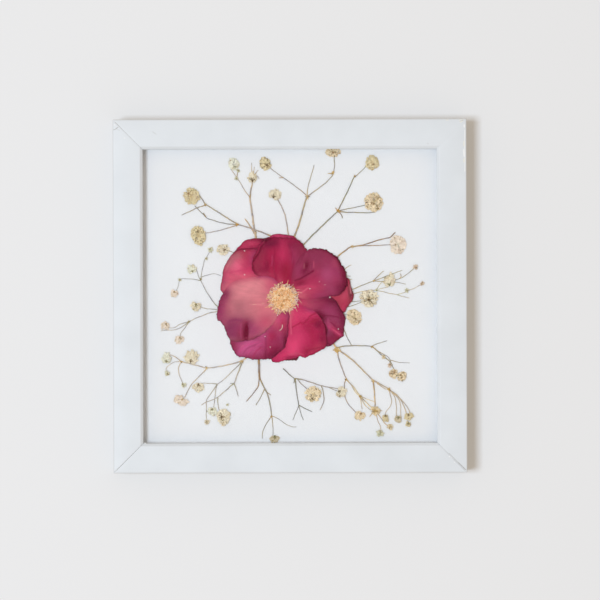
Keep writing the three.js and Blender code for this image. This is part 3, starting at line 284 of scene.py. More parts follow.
def finish_bumped(tree, base, roughness, height, strength, depth_mm, more=None):
    """Ends a material in a Principled surface, with a bump of this depth from a height."""
    bump = add(tree, "Bump", {"Height": height, "Strength": strength, "Distance": depth_mm * MM})
    finish_material(tree, add(tree, "BsdfPrincipled", {
        "Base Color": base, "Roughness": roughness, "Normal": bump.outputs[0], **(more or {})}))


def satin_paint(name, colour):
    """Satin alkyd enamel, brushed on wood: soft broad highlights, faint brush drag and tone."""
    material, tree = new_material(name)
    where = millimetres(tree)
    drag, tone = noise(tree, where, 3.0, 4, 0.6), noise(tree, where, 22.0, 3)
    base = ramp(tree, tone, (0.35, [c * 0.955 for c in colour]), (0.65, colour))
    finish_bumped(tree, base, 0.46, drag, 0.18, 0.08, {"Specular IOR Level": 0.35})
    return material


def float_glass():
    """Clear float glass, 1.6 mm: almost nothing but a faint even sheen and a trace of green."""
    material, tree = new_material("float_glass_clear")
    sheen = add(tree, "Fresnel", {"IOR": 1.12})
    clear = add(tree, "BsdfTransparent", {"Color": (0.992, 0.996, 0.994, 1)})
    gloss = add(tree, "BsdfGlossy", {"Color": (1, 1, 1, 1), "Roughness": 0.03})
    finish_material(tree, add(tree, "MixShader", {0: sheen.outputs[0], 1: clear.outputs[0],
                                                  2: gloss.outputs[0]}))
    return material


def white_card():
    """Uncoated white card: matte, with a paper tooth finer than the eye reads."""
    material, tree = new_material("uncoated_white_card")
    where = millimetres(tree)
    tooth, cloud = noise(tree, where, 0.8, 5, 0.7), noise(tree, where, 30.0, 2)
    base = ramp(tree, cloud, (0, linear("#eeedee")), (1, linear("#f2f1f2")))
    finish_bumped(tree, base, 0.9, tooth, 0.25, 0.05, {"Specular IOR Level": 0.15})
    return material


def hardboard():
    """Pressed wood-fibre board, smooth face out: brown, mottled with short darker fibres."""
    material, tree = new_material("pressed_fibre_hardboard")
    where = millimetres(tree)
    fibre = noise(tree, where, 1.4, 6, 0.75, Distortion=1.5)
    shade = both(tree, fibre, spread(tree, noise(tree, where, 26.0, 2), 0.85, 1.15), "MULTIPLY")
    base = ramp(tree, shade, (0.3, linear("#5d3c23")), (0.7, linear("#96704c")))
    finish_bumped(tree, base, 0.62, fibre, 0.4, 0.1)
    return material


def sheet_metal(name, colour, dull, rolled_mm):
    """Rolled sheet metal with a thin plating: a soft metal gloss drawn out along the rolling."""
    material, tree = new_material(name)
    where = add(tree, "Mapping", {"Vector": millimetres(tree), "Scale": (0.12, 1, 1)}).outputs[0]
    lines = noise(tree, where, rolled_mm, 4)
    base = ramp(tree, lines, (0, linear(dull)), (1, linear(colour)))
    finish_bumped(tree, base, spread(tree, lines, 0.28, 0.46), lines, 0.2, 0.03, {"Metallic": 1.0})
    return material


def pressed_petal():
    """Dried pressed rose petal: velvety and matte, the dye in clouds, fine veins fanning out."""
    material, tree = new_material("dried_rose_petal")
    where = millimetres(tree)
    # across the fan a vein comes every 0.9 mm or so, along it they run on for about 12 mm
    veins = noise(tree, attribute(tree, "vein", "Vector"), 1.0, 3, 0.6)
    grain, cloud = noise(tree, where, 0.9, 4), noise(tree, where, 5.0, 3)
    shade = both(tree, spread(tree, veins, 0.95, 1.05, 0.3, 0.7),
                 spread(tree, cloud, 0.92, 1.08, 0.3, 0.7), "MULTIPLY")
    base = add(tree, "VectorMath", {0: attribute(tree, "dye", "Color"), "Scale": shade},
               operation="SCALE").outputs[0]
    finish_bumped(tree, base, 0.8, both(tree, veins, grain, "ADD"), 0.45, 0.12,
                  {"Specular IOR Level": 0.1, "Sheen Weight": 0.02, "Sheen Roughness": 0.5})
    return material


def chalky(name, mottle_mm, low, high, roughness=0.8):
    """Dried stem, floret, anther or bare gesso: chalky and matte, flecked, each point with its dye."""
    material, tree = new_material(name)
    fleck = noise(tree, millimetres(tree), mottle_mm, 4, 0.65)
    base = add(tree, "VectorMath", {0: attribute(tree, "dye", "Color"),
                                    "Scale": spread(tree, fleck, low, high, 0.32, 0.66)},
               operation="SCALE").outputs[0]
    finish_bumped(tree, base, roughness, fleck, 0.5, 0.1, {"Specular IOR Level": 0.2})
    return material


def plain_plaster(name, colour):
    """Flat emulsion on plaster; only its front face shows, so the back of the picture can be seen."""
    material, tree = new_material(name)
    flat = add(tree, "BsdfDiffuse", {"Color": (*colour, 1)})
    behind = add(tree, "NewGeometry").outputs["Backfacing"]
    nothing = add(tree, "BsdfTransparent")
    finish_material(tree, add(tree, "MixShader", {0: behind, 1: flat.outputs[0], 2: nothing.outputs[0]}))
    return material


# ---- the height grid under the petals ----
class Bed:
    """Heights above the card of all that is laid so far, on a square grid under the rose."""

    def __init__(self):
        self.count = int(2 * SHEET_REACH / SHEET_CELL) + 1
        self.top = np.zeros((self.count, self.count))

    def lay(self, points):
        """Raises the grid to points (x, z, height)."""
        cells = np.rint((points[:, :2] + SHEET_REACH) / SHEET_CELL).astype(int)
        inside = ((cells >= 0) & (cells < self.count)).all(axis=1)
        np.maximum.at(self.top, (cells[inside, 0], cells[inside, 1]), points[inside, 2])

    def draped(self, reach_mm):
        """The grid as a sheet lying on it would run: swollen, then smoothed."""
        cells = int(round(reach_mm / SHEET_CELL))
        swollen = self.top.copy()
        for i in range(-cells, cells + 1):
            for j in range(-cells, cells + 1):
                if i * i + j * j <= cells * cells:
                    swollen = np.maximum(swollen, np.roll(self.top, (i, j), (0, 1)))
        smooth = swollen
        for _ in range(2 * cells):
            smooth = (np.roll(smooth, 1, 0) + np.roll(smooth, -1, 0) + np.roll(smooth, 1, 1)
                      + np.roll(smooth, -1, 1) + 2 * smooth) / 6
        return np.maximum(smooth, self.top)

    def sample(self, grid, x, z):
        """Heights of a grid of this bed at places between its cells."""
        u, v = (x + SHEET_REACH) / SHEET_CELL, (z + SHEET_REACH) / SHEET_CELL
        i = np.clip(u.astype(int), 0, self.count - 2)
        j = np.clip(v.astype(int), 0, self.count - 2)
        a, b = u - i, v - j
        return ((grid[i, j] * (1 - a) + grid[i + 1, j] * a) * (1 - b)
                + (grid[i, j + 1] * (1 - a) + grid[i + 1, j + 1] * a) * b)


# ---- rose ----
# Petals from the lowest to the uppermost. Stain patches are (x, z, half width, half height, turn in
# degrees, dye, strength), a few of them painted shade beside a fold; crease lines are (dye, width,
# strength, points), a few of them painted highlights along a fold's lit ridge; soft spots are (x, z,
# radius) where the margin melts into the petal under it; rim is how dark the very edge has dried and frill
# how ragged it is.
Petal = namedtuple("Petal", "name base heart rim frill margin stains creases soft", defaults=([], []))

PETALS = [
    Petal("petal_right_back", "brick", (21, -1), rim=0.5, frill=0.8, margin=[
        (26.8, -8.6), (28.5, -6), (30, -4), (31.2, -2.5), (31.9, -0.8), (31.8, 1), (31, 3.5), (30.3, 6),
        (29.9, 8), (28, 9), (23, 8.5), (16, 6.5), (10, 3), (8, -1), (12, -5.5), (20, -8.5)], stains=[
        (30.8, 2.8, 0.9, 3.8, -8, "dried_edge", 1.2), (27.5, -6.4, 1.6, 2, 0, "cerise", 0.5),
        (27.4, 0.5, 1.4, 2.8, -30, "old_rose", 0.3), (25.6, 3.4, 1.4, 1.2, 0, "wine", 0.5)], creases=[
        ("dried_edge", 0.2, 0.8, [(28.2, 7.4), (29.1, 4.6), (29.3, 1.8), (29.9, 0.4)]),
        # the dusty pink line is painted highlights on the dried right margin
        ("dusty_pink", 0.22, 0.8, [(30.1, 5.6), (30.4, 3.2), (30.6, 1.4)])]),
    Petal("petal_left_back", "rose_red", (-16, 21), rim=0.5, frill=0.7, margin=[
        (-9, 22), (-8.5, 27), (-10, 29.6), (-13, 29.1), (-18, 29), (-20.5, 28.6), (-22.7, 27.9),
        (-25, 25.5), (-27, 23.2), (-25, 18.5), (-18, 14.5), (-11, 14)], stains=[
        (-20, 26.6, 3.6, 1.4, 20, "old_rose", 0.3), (-13.5, 28, 3, 1.1, 0, "maroon", 0.8),
        (-16.6, 24.7, 3, 0.8, 0, "wine", 0.6), (-12, 28.9, 2.4, 0.6, 0, "dried_edge", 0.8)], creases=[
        ("wine", 0.25, 0.5, [(-20.6, 27.8), (-17, 28.2), (-13, 28.3)])]),
    Petal("petal_upper_back", "ruby", (-4.5, 22), rim=0.45, frill=0.8, margin=[
        (3, 22), (4, 27), (2.4, 29.7), (0, 30.5), (-3, 31), (-6, 31.2), (-8, 31), (-10, 30), (-11.4, 27),
        (-11, 21), (-7, 15), (-2, 15)], stains=[
        (2, 29, 3, 2, -20, "wine", 0.5), (-10, 29, 1.5, 1.5, 0, "carmine", 0.6)]),
    Petal("petal_lower_back", "oxblood", (-0.5, -24), rim=0.5, frill=1.6, margin=[
        (3, -18), (5.5, -24), (4.6, -30), (3.2, -32.2), (0.5, -32.2), (-1, -32.6), (-2.5, -32.3), (-5, -31),
        (-6, -25), (-4, -18)], stains=[
        (0, -31.8, 3, 0.5, 0, "dried_edge", 0.9)]),
    Petal("petal_lower_right", "grape", (17, -13), rim=0.55, frill=1.1, margin=[
        (-1, 0), (8, 1.6), (14, 1.6), (18, 0.8), (20.3, -0.3), (23, -2.5), (25, -6), (26.8, -8.8),
        (27.9, -11.5), (27.5, -14), (27, -16.5), (26.9, -20), (25.8, -20.9), (24, -22), (21.5, -24.3),
        (19.5, -25.3), (15, -24.5), (9, -19), (3, -11)], stains=[
        (7, -4, 5, 3, 0, "rose_red", 0.95), (12, -4.6, 2.5, 3, 0, "mulberry", 0.6),
        (9, -4, 4.4, 2.4, 0, "sunned", 0.6), (17.5, -4.6, 3.2, 2.2, 0, "maroon", 0.5),
        (18.5, -2, 2.6, 1.1, -12, "maroon", 0.9), (14, -2.6, 2.4, 1.4, 0, "plum", 0.7),
        (22.8, -5.4, 1.5, 3.2, 30, "oxblood", 0.55), (21.4, -2.6, 1.1, 0.7, -30, "oxblood", 0.7),
        (24.9, -7.6, 1.2, 3.4, 22, "maroon", 0.8), (20.2, -7.4, 2.8, 2.4, 0, "mulberry", 0.6),
        # the mauve patch at (19.8, -15.2) is a painted highlight on a fold's ridge
        (21, -12, 3, 2.2, -25, "grape", 0.6), (19.8, -15.2, 1.7, 2.6, 30, "mauve", 0.95),
        (22.6, -17.4, 1, 3.4, 52, "rose_red", 0.9), (23.4, -15.4, 1.2, 2.8, 45, "plum", 0.7),
        (26.2, -12.6, 0.9, 3.5, 0, "maroon", 0.7), (20.4, -21.8, 3, 1.8, 30, "wine", 0.75),
        (24, -21.2, 1.6, 1, 30, "crimson", 0.5), (15.3, -9.8, 1.2, 2.6, 50, "oxblood", 1.1)], creases=[
        ("maroon", 0.28, 0.7, [(14, -8.6), (17.5, -9.8), (21, -10.1), (25, -11)]),
        # the magenta and shell lines below are painted highlights along that ridge
        ("magenta", 0.45, 0.25, [(19.4, -15.2), (21.3, -17), (23.6, -18.6), (25.2, -19.6)]),
        ("shell", 0.2, 0.45, [(21.5, -16.9), (23.6, -18.4), (25, -19.4)]),
        ("maroon", 0.22, 0.7, [(20.5, -13.2), (23.2, -15.8), (26.4, -18.7)]),
        ("mauve", 0.3, 0.6, [(18.9, -11.4), (19.4, -13.6), (20.6, -15.8)]),
        ("oxblood", 0.24, 0.7, [(24.8, -15.6), (25.4, -16.6), (26.6, -17)]),
        ("oxblood", 0.3, 0.8, [(18.4, -20.6), (18.6, -23), (20, -24.8)])], soft=[
        (2, -3, 7)]),
    Petal("petal_upper_left", "rose_red", (-22, 10), rim=0.42, frill=0.7, margin=[
        (-6, 3), (-6, 8), (-10, 15), (-14, 21), (-17, 23.8), (-21, 24), (-26, 23.6), (-28.3, 22),
        (-30.2, 19.6), (-32.5, 16), (-33.5, 13.3), (-34, 10), (-34.6, 6.5), (-35, 3.6), (-34, 1.8),
        (-32, -1), (-26, -3.5), (-16, -3), (-9, -1)], stains=[
        (-28, 14.6, 3.2, 4, 12, "shell", 0.95), (-31.4, 9.5, 2, 4.4, 0, "old_rose", 0.85),
        (-23, 11, 5, 2.4, 0, "bright_rose", 0.4), (-23, 21.4, 5, 1.7, -4, "brick", 0.7),
        (-26.6, 20.6, 2.2, 1.6, -35, "dusky", 0.7), (-30.2, 17.2, 1.4, 2.8, -32, "dusky", 0.85),
        (-17.6, 19.6, 2.4, 3.6, -25, "mulberry", 0.75), (-17.2, 12.6, 1.4, 2.4, 10, "cerise", 0.6),
        (-33, 5, 1.3, 3.4, 0, "mulberry", 0.85), (-26, 4.2, 7, 2.6, 0, "salmon", 0.9),
        (-22, 9.8, 6, 1.2, 0, "salmon", 0.4)], creases=[
        ("maroon", 0.2, 0.85, [(-28, 22), (-25.6, 23.3), (-22, 23.7), (-17, 23.7)]),
        ("wine", 0.5, 0.3, [(-28, 21.4), (-25, 22.7), (-20, 23), (-16.5, 22.8)]),
        ("cerise", 0.3, 0.35, [(-30, 12), (-24, 13.2), (-19.5, 14.6)]),
        ("salmon", 0.22, 0.5, [(-32.2, 12.6), (-31, 15.4), (-29.6, 17.6)])]),
    Petal("petal_bottom", "cerise", (3, -18), rim=0.5, frill=1.5, margin=[
        (13, -8.2), (15.4, -10.6), (17, -13), (18.2, -16.5), (18.4, -20.5), (17.8, -25.7), (14, -28),
        (11, -29.7), (9, -30.3), (7.5, -31.1), (5.2, -30.3), (3, -31.2), (0, -31.6), (-2.5, -32.2),
        (-4, -32.8), (-6.5, -33.3), (-8.6, -33), (-10, -31), (-10.5, -25), (-9, -16), (-7, -9), (-3, -4.5),
        (3, -4), (8, -5.5)], stains=[
        (1, -26.5, 2.6, 3.6, -8, "bright_rose", 1.1), (-3.4, -30.6, 2.4, 1.2, 20, "hot_pink", 0.4),
        (3, -21.5, 2.6, 5, 0, "bright_rose", 0.55), (7.4, -9, 3.4, 1.6, 8, "bright_rose", 0.7),
        (3.2, -11, 1.8, 3.2, 0, "bright_rose", 0.6), (10.6, -7, 3, 1.1, -18, "mulberry", 0.8),
        (13, -20, 3, 5.4, 0, "carmine", 0.9), (14, -14.2, 1.9, 1.7, -20, "wine", 1.2),
        (11.6, -12.6, 2.2, 0.9, 30, "crimson", 0.8), (16.4, -22, 1.6, 5, 0, "wine", 0.9),
        (9, -27.6, 2.4, 1.6, 25, "crimson", 0.7), (14, -26, 3, 1.4, 25, "brick", 0.6),
        (17.6, -16, 0.7, 4, 8, "wine", 0.6), (7, -15, 3, 1.6, -30, "carmine", 0.5),
        (0.2, -6, 1.1, 4, 0, "salmon", 0.6), (0.6, -30.6, 3, 0.6, 5, "wine", 0.6)], creases=[
        ("oxblood", 0.2, 1.0, [(14.2, -9.2), (16.3, -11.9), (17.8, -15.2), (18.1, -19.8)]),
        ("crimson", 0.24, 0.8, [(1, -15.7), (3.6, -14.3), (5.4, -13.3), (6, -13.9)]),
        ("crimson", 0.35, 0.75, [(7, -13.6), (8.6, -12), (10.6, -9.8), (13.2, -8.4)]),
        ("wine", 0.3, 0.6, [(7.6, -29.8), (9, -27.6), (12.6, -26.4), (16, -25.4)]),
        ("crimson", 0.8, 0.3, [(9.8, -15.5), (10.8, -19.5), (11.4, -24)]),
        ("shell", 0.28, 0.6, [(-0.2, -6.5), (0.2, -12), (0.6, -19)]),
        ("old_rose", 0.3, 0.5, [(-0.4, -29.4), (3, -28.8), (6.4, -29.4)])], soft=[
        (3, -4, 5), (8, -5.5, 5), (12, -7.5, 3)]),
    Petal("petal_top", "carmine", (-6, 16), rim=0.5, frill=2.0, margin=[
        (7, 12), (8.6, 18), (8.6, 22.8), (7, 25.2), (5, 27.5), (2.5, 28.9), (-1, 29.2), (-6, 29.5),
        (-10, 29.2), (-13.4, 27.6), (-15.9, 25), (-17, 22), (-18.4, 19.2), (-19.2, 16.4), (-18.9, 13.6),
        (-17.2, 10.8), (-12, 8), (-8, 3.5), (-3, 1), (2, 4)], stains=[
        (-14, 21.4, 1.6, 4, -20, "garnet", 0.8), (-9, 26.6, 5, 1.9, 14, "maroon", 1.0),
        (1.6, 25, 3.4, 3, 0, "maroon", 0.7), (-3.6, 20, 1.6, 7, 0, "cerise", 0.95),
        (-2.2, 24, 1.6, 3, 0, "rose_red", 0.5), (-16, 15, 2.2, 3.4, 0, "garnet", 0.9),
        (-11.7, 13.4, 0.9, 3, 0, "wine", 1.5), (-13.6, 12.2, 1.5, 1.9, 0, "wine", 0.9),
        (-1.8, 11.5, 2.4, 4.5, 0, "crimson", 1.1), (-8.5, 12.5, 2.4, 5, 15, "crimson", 0.5),
        (-5, 6.4, 1.1, 2, 0, "sunned", 0.6), (-14, 10.4, 5, 1.3, 0, "old_rose", 0.4),
        (4, 17, 2.2, 5, 10, "mulberry", 0.75), (6, 22, 2.6, 3.4, 0, "plum", 0.8),
        (-12.6, 28, 1.6, 0.8, 30, "dried_edge", 0.5)], creases=[
        ("oxblood", 0.36, 0.95, [(-18.2, 17.6), (-17.3, 19.2), (-15.4, 22), (-14.3, 25), (-12, 27.4),
         (-9.6, 28.8)]), ("cerise", 0.3, 0.6, [(-17.2, 20.9), (-16.1, 22.9), (-15.2, 25.2), (-13.2, 27.2)]),
        ("oxblood", 0.3, 0.6, [(-18.7, 15.6), (-18, 12.9), (-16.6, 11.4)]),
        ("wine", 0.35, 0.55, [(-7, 9), (-8.2, 15), (-7.6, 23)]),
        ("mauve", 0.2, 0.5, [(-9.2, 15.2), (-8.8, 18), (-9, 20.4)]),
        ("wine", 0.4, 0.55, [(0, 9), (1.4, 15), (1, 22), (-0.6, 26)]),
        ("mulberry", 0.22, 0.5, [(0.6, 24.6), (1.6, 20.4), (1.2, 17)]),
        ("wine", 0.3, 0.4, [(-11, 15.4), (-12.4, 19), (-11.6, 24)])], soft=[
        (-12, 8, 4)]),
    Petal("petal_lower_left", "mulberry", (-15, -18), rim=0.5, frill=1.7, margin=[
        (-1, -8), (-0.9, -14), (-1.2, -20), (-2.6, -25.2), (-4.6, -27.7), (-7.2, -29.8), (-9.6, -31.5),
        (-12, -31.8), (-15, -31.7), (-18.5, -32), (-21.5, -31), (-24, -30.6), (-26.3, -30.4), (-28, -28),
        (-29.3, -26), (-30.2, -23.5), (-29, -19), (-24, -13.5), (-16, -9), (-8, -5)], stains=[
        (-6.6, -12.6, 3, 3.4, -25, "sunned", 1.2), (-4.8, -12, 1.7, 1.6, 0, "orchid", 0.6),
        (-8.6, -13.6, 1.1, 3.4, -38, "shell", 0.5), (-20, -25.2, 4, 2.8, 12, "thistle", 1.0),
        (-24.6, -28, 2.4, 1.8, 35, "thistle", 1.05), (-19.4, -23.4, 2.6, 1, 15, "thistle", 0.5),
        (-9.6, -21.5, 1.9, 5, 6, "carmine", 1.1), (-6.8, -26, 2.2, 4, 20, "wine", 0.8),
        (-8.6, -23.6, 1.6, 1.6, 0, "mulberry", 0.6), (-13.4, -19.8, 1.6, 2.4, 20, "thistle", 0.6),
        (-9, -29.4, 3.4, 1.8, 25, "maroon", 0.95), (-2.4, -22.5, 1, 4.2, 0, "oxblood", 0.9),
        (-3.4, -13.6, 1.8, 3, 10, "rose_red", 0.8), (-29, -24, 1.5, 4, 20, "plum", 0.8),
        (-18, -31, 6, 1, 0, "plum", 0.6), (-11, -16, 1.8, 2.2, 35, "mauve", 0.8)], creases=[
        # the two magenta lines and the small shell line are painted highlights on the lit side of folded
        # ridges
        ("magenta", 0.2, 0.75, [(-25.6, -28.4), (-24.2, -26.4), (-22.3, -24.8), (-19, -23.8),
         (-15.7, -22.8)]),
        ("magenta", 0.18, 0.7, [(-21.2, -29.2), (-20, -27), (-18, -25.4), (-14.4, -23.6)]),
        ("mulberry", 0.3, 0.55, [(-23.4, -28.6), (-21.2, -26), (-17.4, -24.4)]),
        ("shell", 0.14, 0.5, [(-24.6, -25.6), (-24, -25), (-23.4, -24.6)]),
        ("maroon", 0.4, 0.4, [(-12.3, -20.4), (-12.2, -25), (-12.6, -31)]),
        ("carmine", 0.3, 0.45, [(-18.6, -30.4), (-17, -27.6), (-14.6, -25.8)])], soft=[
        (-4, -6, 4)]),
    Petal("petal_upper_right", "plum", (13, 10), rim=0.62, frill=2.4, margin=[
        (3, 0), (9, -1.8), (15, -1.2), (20, -0.2), (23.2, 0), (25.2, 1), (27, 2.5), (28.4, 5), (29, 8),
        (28.6, 9.6), (27.6, 13), (25.5, 16.8), (23.6, 19.4), (20.5, 21.9), (17, 23.5), (13.5, 24.1),
        (10.5, 23.6), (8.3, 22.7), (6, 20.5), (3.5, 17.4), (1.7, 13.5), (0.8, 8.5), (0.8, 4)], stains=[
        (7, 2.5, 4.5, 3.6, 0, "rose_red", 1.0), (4.5, 0.4, 3.4, 2.2, 0, "salmon", 0.6),
        (13.5, 6.5, 4, 3.6, 20, "cerise", 0.6), (18.6, 10.8, 2.6, 3.6, 0, "mauve", 0.95),
        (13, 19.6, 5, 2.6, -10, "grape", 0.6), (23.4, 12.6, 1.8, 4.6, 18, "mulberry", 0.6),
        (27, 10, 1.1, 5.4, 12, "oxblood", 0.8), (23, 16.6, 1.4, 1.8, 0, "old_rose", 0.35),
        (25.6, 16.2, 0.8, 2.4, 36, "oxblood", 0.8), (27.2, 4.6, 1, 2.6, -18, "oxblood", 0.85),
        (24.4, 3.8, 2.6, 2.4, 15, "maroon", 0.8), (20, 3.4, 2.6, 2.4, 0, "mauve", 0.5),
        (15.5, 0.3, 4, 1.6, 0, "mulberry", 0.6), (5, 12.8, 2.6, 3.6, 20, "mulberry", 0.6),
        (8.4, 15.2, 0.9, 1.7, -12, "oxblood", 1.0), (7, 12.4, 1.4, 1.1, 20, "maroon", 0.8),
        (11.2, 15, 1.2, 2.6, -25, "grape", 0.6), (4.6, 7, 3, 1, 10, "crimson", 0.6),
        (19.5, 22.2, 6, 0.7, -28, "oxblood", 0.75), (10, 3.6, 5, 1.6, 8, "old_rose", 0.4),
        (5, 6.2, 2, 0.9, 10, "maroon", 0.5)], creases=[
        ("oxblood", 0.24, 1.0, [(2.4, 7.8), (5.2, 8.7), (7.3, 9.9), (9.4, 11.2), (11.7, 12.5)]),
        ("maroon", 0.6, 0.4, [(5.2, 8.9), (7.3, 10.2), (9.4, 11.6), (11.2, 12.8)]),
        # this dusty pink line is a painted highlight on the lit edge of the dark fold beside it
        ("dusty_pink", 0.14, 0.45, [(7.1, 14), (7.1, 15), (7.2, 15.9)]),
        ("old_rose", 0.22, 0.6, [(11.9, 14.5), (12, 16), (11.9, 17.4)]),
        ("shell", 0.25, 0.7, [(3.8, 1), (6.4, 2.2), (9.2, 4.2)]),
        ("maroon", 0.8, 0.2, [(8.3, 22.7), (6, 20.5), (3.5, 17.4), (1.7, 13.5), (0.9, 8.5)]),
        ("bright_rose", 0.3, 0.4, [(3.6, 4.4), (8, 5), (13, 4.6)]),
        ("oxblood", 0.55, 0.65, [(28.6, 4.6), (28.8, 8), (28, 11.4), (26.4, 15), (24.4, 18.1),
         (22, 20.7)])], soft=[
        (9, -1.8, 9), (3, 0, 6), (7.6, 22.2, 3), (4.6, 18.8, 5), (2, 14, 6), (1, 9, 5)]),
    Petal("petal_left", "faded", (-20, -5), rim=0.4, frill=1.8, margin=[
        (-4, 0), (-5, 5), (-8, 8.7), (-12, 10), (-17, 9.7), (-22, 9), (-27, 7.8), (-30.5, 6), (-32.6, 3.3),
        (-34, 0.6), (-35.5, -1.8), (-36, -4), (-36.4, -7), (-37, -10), (-36.3, -12), (-34.7, -12.9),
        (-33.4, -15.2), (-32, -18.4), (-30.4, -21.8), (-28, -22.7), (-24, -22.7), (-19, -21.8),
        (-15, -19.8), (-12, -17.4), (-9, -14.5), (-6.5, -10.3), (-4.5, -6)], stains=[
        (-18.6, 3.6, 8, 4.4, 0, "dusty_pink", 1.1), (-13, -6, 5, 4, 0, "salmon", 0.6),
        (-25, -6.4, 3.6, 3.6, 0, "dusky", 0.65), (-10.6, 6, 2.8, 4, 0, "sunned", 0.5),
        (-35.2, -6, 2.8, 8.5, 0, "mulberry", 1.0), (-28.2, -17, 5.4, 5, 0, "violet", 1.15),
        (-18, -17.5, 4.2, 3.4, 20, "mauve", 0.95), (-12, -13, 3.5, 3, 30, "old_rose", 0.8),
        (-32.8, 0.6, 2.2, 3.6, -20, "grape", 1.0), (-27, -12.2, 4.4, 1.3, 0, "grape", 0.6),
        # the oxblood and maroon patches near (-22.5, -18.5) are a dark fold: the petal's deeper colour
        # there, darkened further with painted shade beside the ridge
        (-22.4, -13.8, 1.9, 1.4, 0, "plum", 0.8), (-23.2, -18.6, 1, 3, 3, "maroon", 0.95),
        (-20.2, -15.4, 1.5, 2.6, 0, "violet", 0.75), (-25.2, -19, 1.4, 2.4, 0, "plum", 0.85),
        (-22.1, -18.5, 0.74, 3, -3, "oxblood", 2.4), (-8.5, 5.5, 2.5, 3, 0, "old_rose", 0.7),
        (-20, -21.3, 7, 0.7, 8, "plum", 0.6)], creases=[
        ("old_rose", 1.1, 0.65, [(-33, 4), (-30, 6.4), (-26.4, 7.9), (-22, 8.8), (-17, 9.6), (-12, 9.9),
         (-8.4, 8.6), (-5.4, 5.4)]),
        ("mulberry", 1.0, 0.75, [(-15.6, 10.1), (-12, 10.1), (-8.2, 9), (-5.6, 6.2)]),
        # the mauve line along x = -24.6 is a painted highlight on the lit left edge of that fold
        ("mauve", 0.25, 0.6, [(-24.5, -14), (-24.9, -17.6), (-24.6, -21)]),
        ("dusty_pink", 0.3, 0.6, [(-12, -4.6), (-16, -4.2), (-20, -4.1)]),
        ("violet", 0.5, 0.8, [(-31, -13), (-28, -12), (-24.6, -12.2)])], soft=[
        (-25, 8.4, 6), (-19, 9.4, 6), (-13, 10, 5), (-7, 7.4, 5), (-5, 3, 5), (-31, 5.5, 4), (-5, -4, 5),
        (-7.6, -12, 4)]),
]


FRILL_WAVES, FRILL_SHARES = (7.3, 3.1, 1.7, 0.95), (0.5, 0.45, 0.45, 0.35)


def petal_margin(plan, rng, frill):
    """The petal's margin in small steps, finely frilled as a dried edge is."""
    rim = curve_through(plan.margin, RIM_STEP, closed=True)
    outward = rim - np.array(plan.heart)
    distance = np.linalg.norm(outward, axis=1, keepdims=True)
    along = np.arange(len(rim)) * RIM_STEP
    waves = ripple(along, FRILL_WAVES, FRILL_SHARES, rng)
    waves *= frill * plan.frill * unmelted(plan, rim[:, 0], rim[:, 1])
    return rim + outward / distance * waves[:, None]


def unmelted(plan, x, z):
    """Share of its margin that a petal keeps, less where it melts into the one under it."""
    share = np.ones(len(x))
    for sx, sz, radius in plan.soft:
        share *= 1 - np.exp(-0.5 * (((x - sx) ** 2 + (z - sz) ** 2) / (0.6 * radius) ** 2))
    return share


def blend(colours, dye, share):
    """Colours mixed with a dye, each point by its own share."""
    return colours * (1 - share)[:, None] + dye * share[:, None]


def away_from(line, x, z):
    """Distance of each point from a crease."""
    path = curve_through(line, CREASE_STEP)
    return np.min(np.hypot(x[:, None] - path[:, 0], z[:, None] - path[:, 1]), axis=1)


def stained(plan, points, inward):
    """Colour at each point of a petal: its dye, then the stain patches (a few of them painted fold shade),
    the crease lines (a few of them painted highlights) and the dark margin.
    """
    colours = np.tile(ROSE_DYES[plan.base], (len(points), 1))
    x, z = points[:, 0], points[:, 1]
    for sx, sz, across, up, turn, dye, strength in plan.stains:
        u, v = turned(x - sx, z - sz, -math.radians(turn))
        share = strength * np.exp(-0.5 * ((u / across) ** 2 + (v / up) ** 2))
        colours = blend(colours, ROSE_DYES[dye], np.minimum(1, share))
    for dye, width, strength, line in plan.creases:
        share = strength * np.exp(-0.5 * (away_from(line, x, z) / width) ** 2)
        colours = blend(colours, ROSE_DYES[dye], share)
    dark = plan.rim * np.exp(-inward / 0.45) + 0.12 * np.exp(-inward / 2.0)
    return colours * (1 - dark * unmelted(plan, x, z))[:, None]


def crease_relief(plan, x, z):
    """Height added by a petal's creases: a narrow fold stands up beside each."""
    rise = np.zeros(len(x))
    for _, width, strength, line in plan.creases:
        if width <= NARROW:
            rise += FOLD_RISE * strength * np.exp(-0.5 * (away_from(line, x, z) / (2 * width)) ** 2)
    return rise


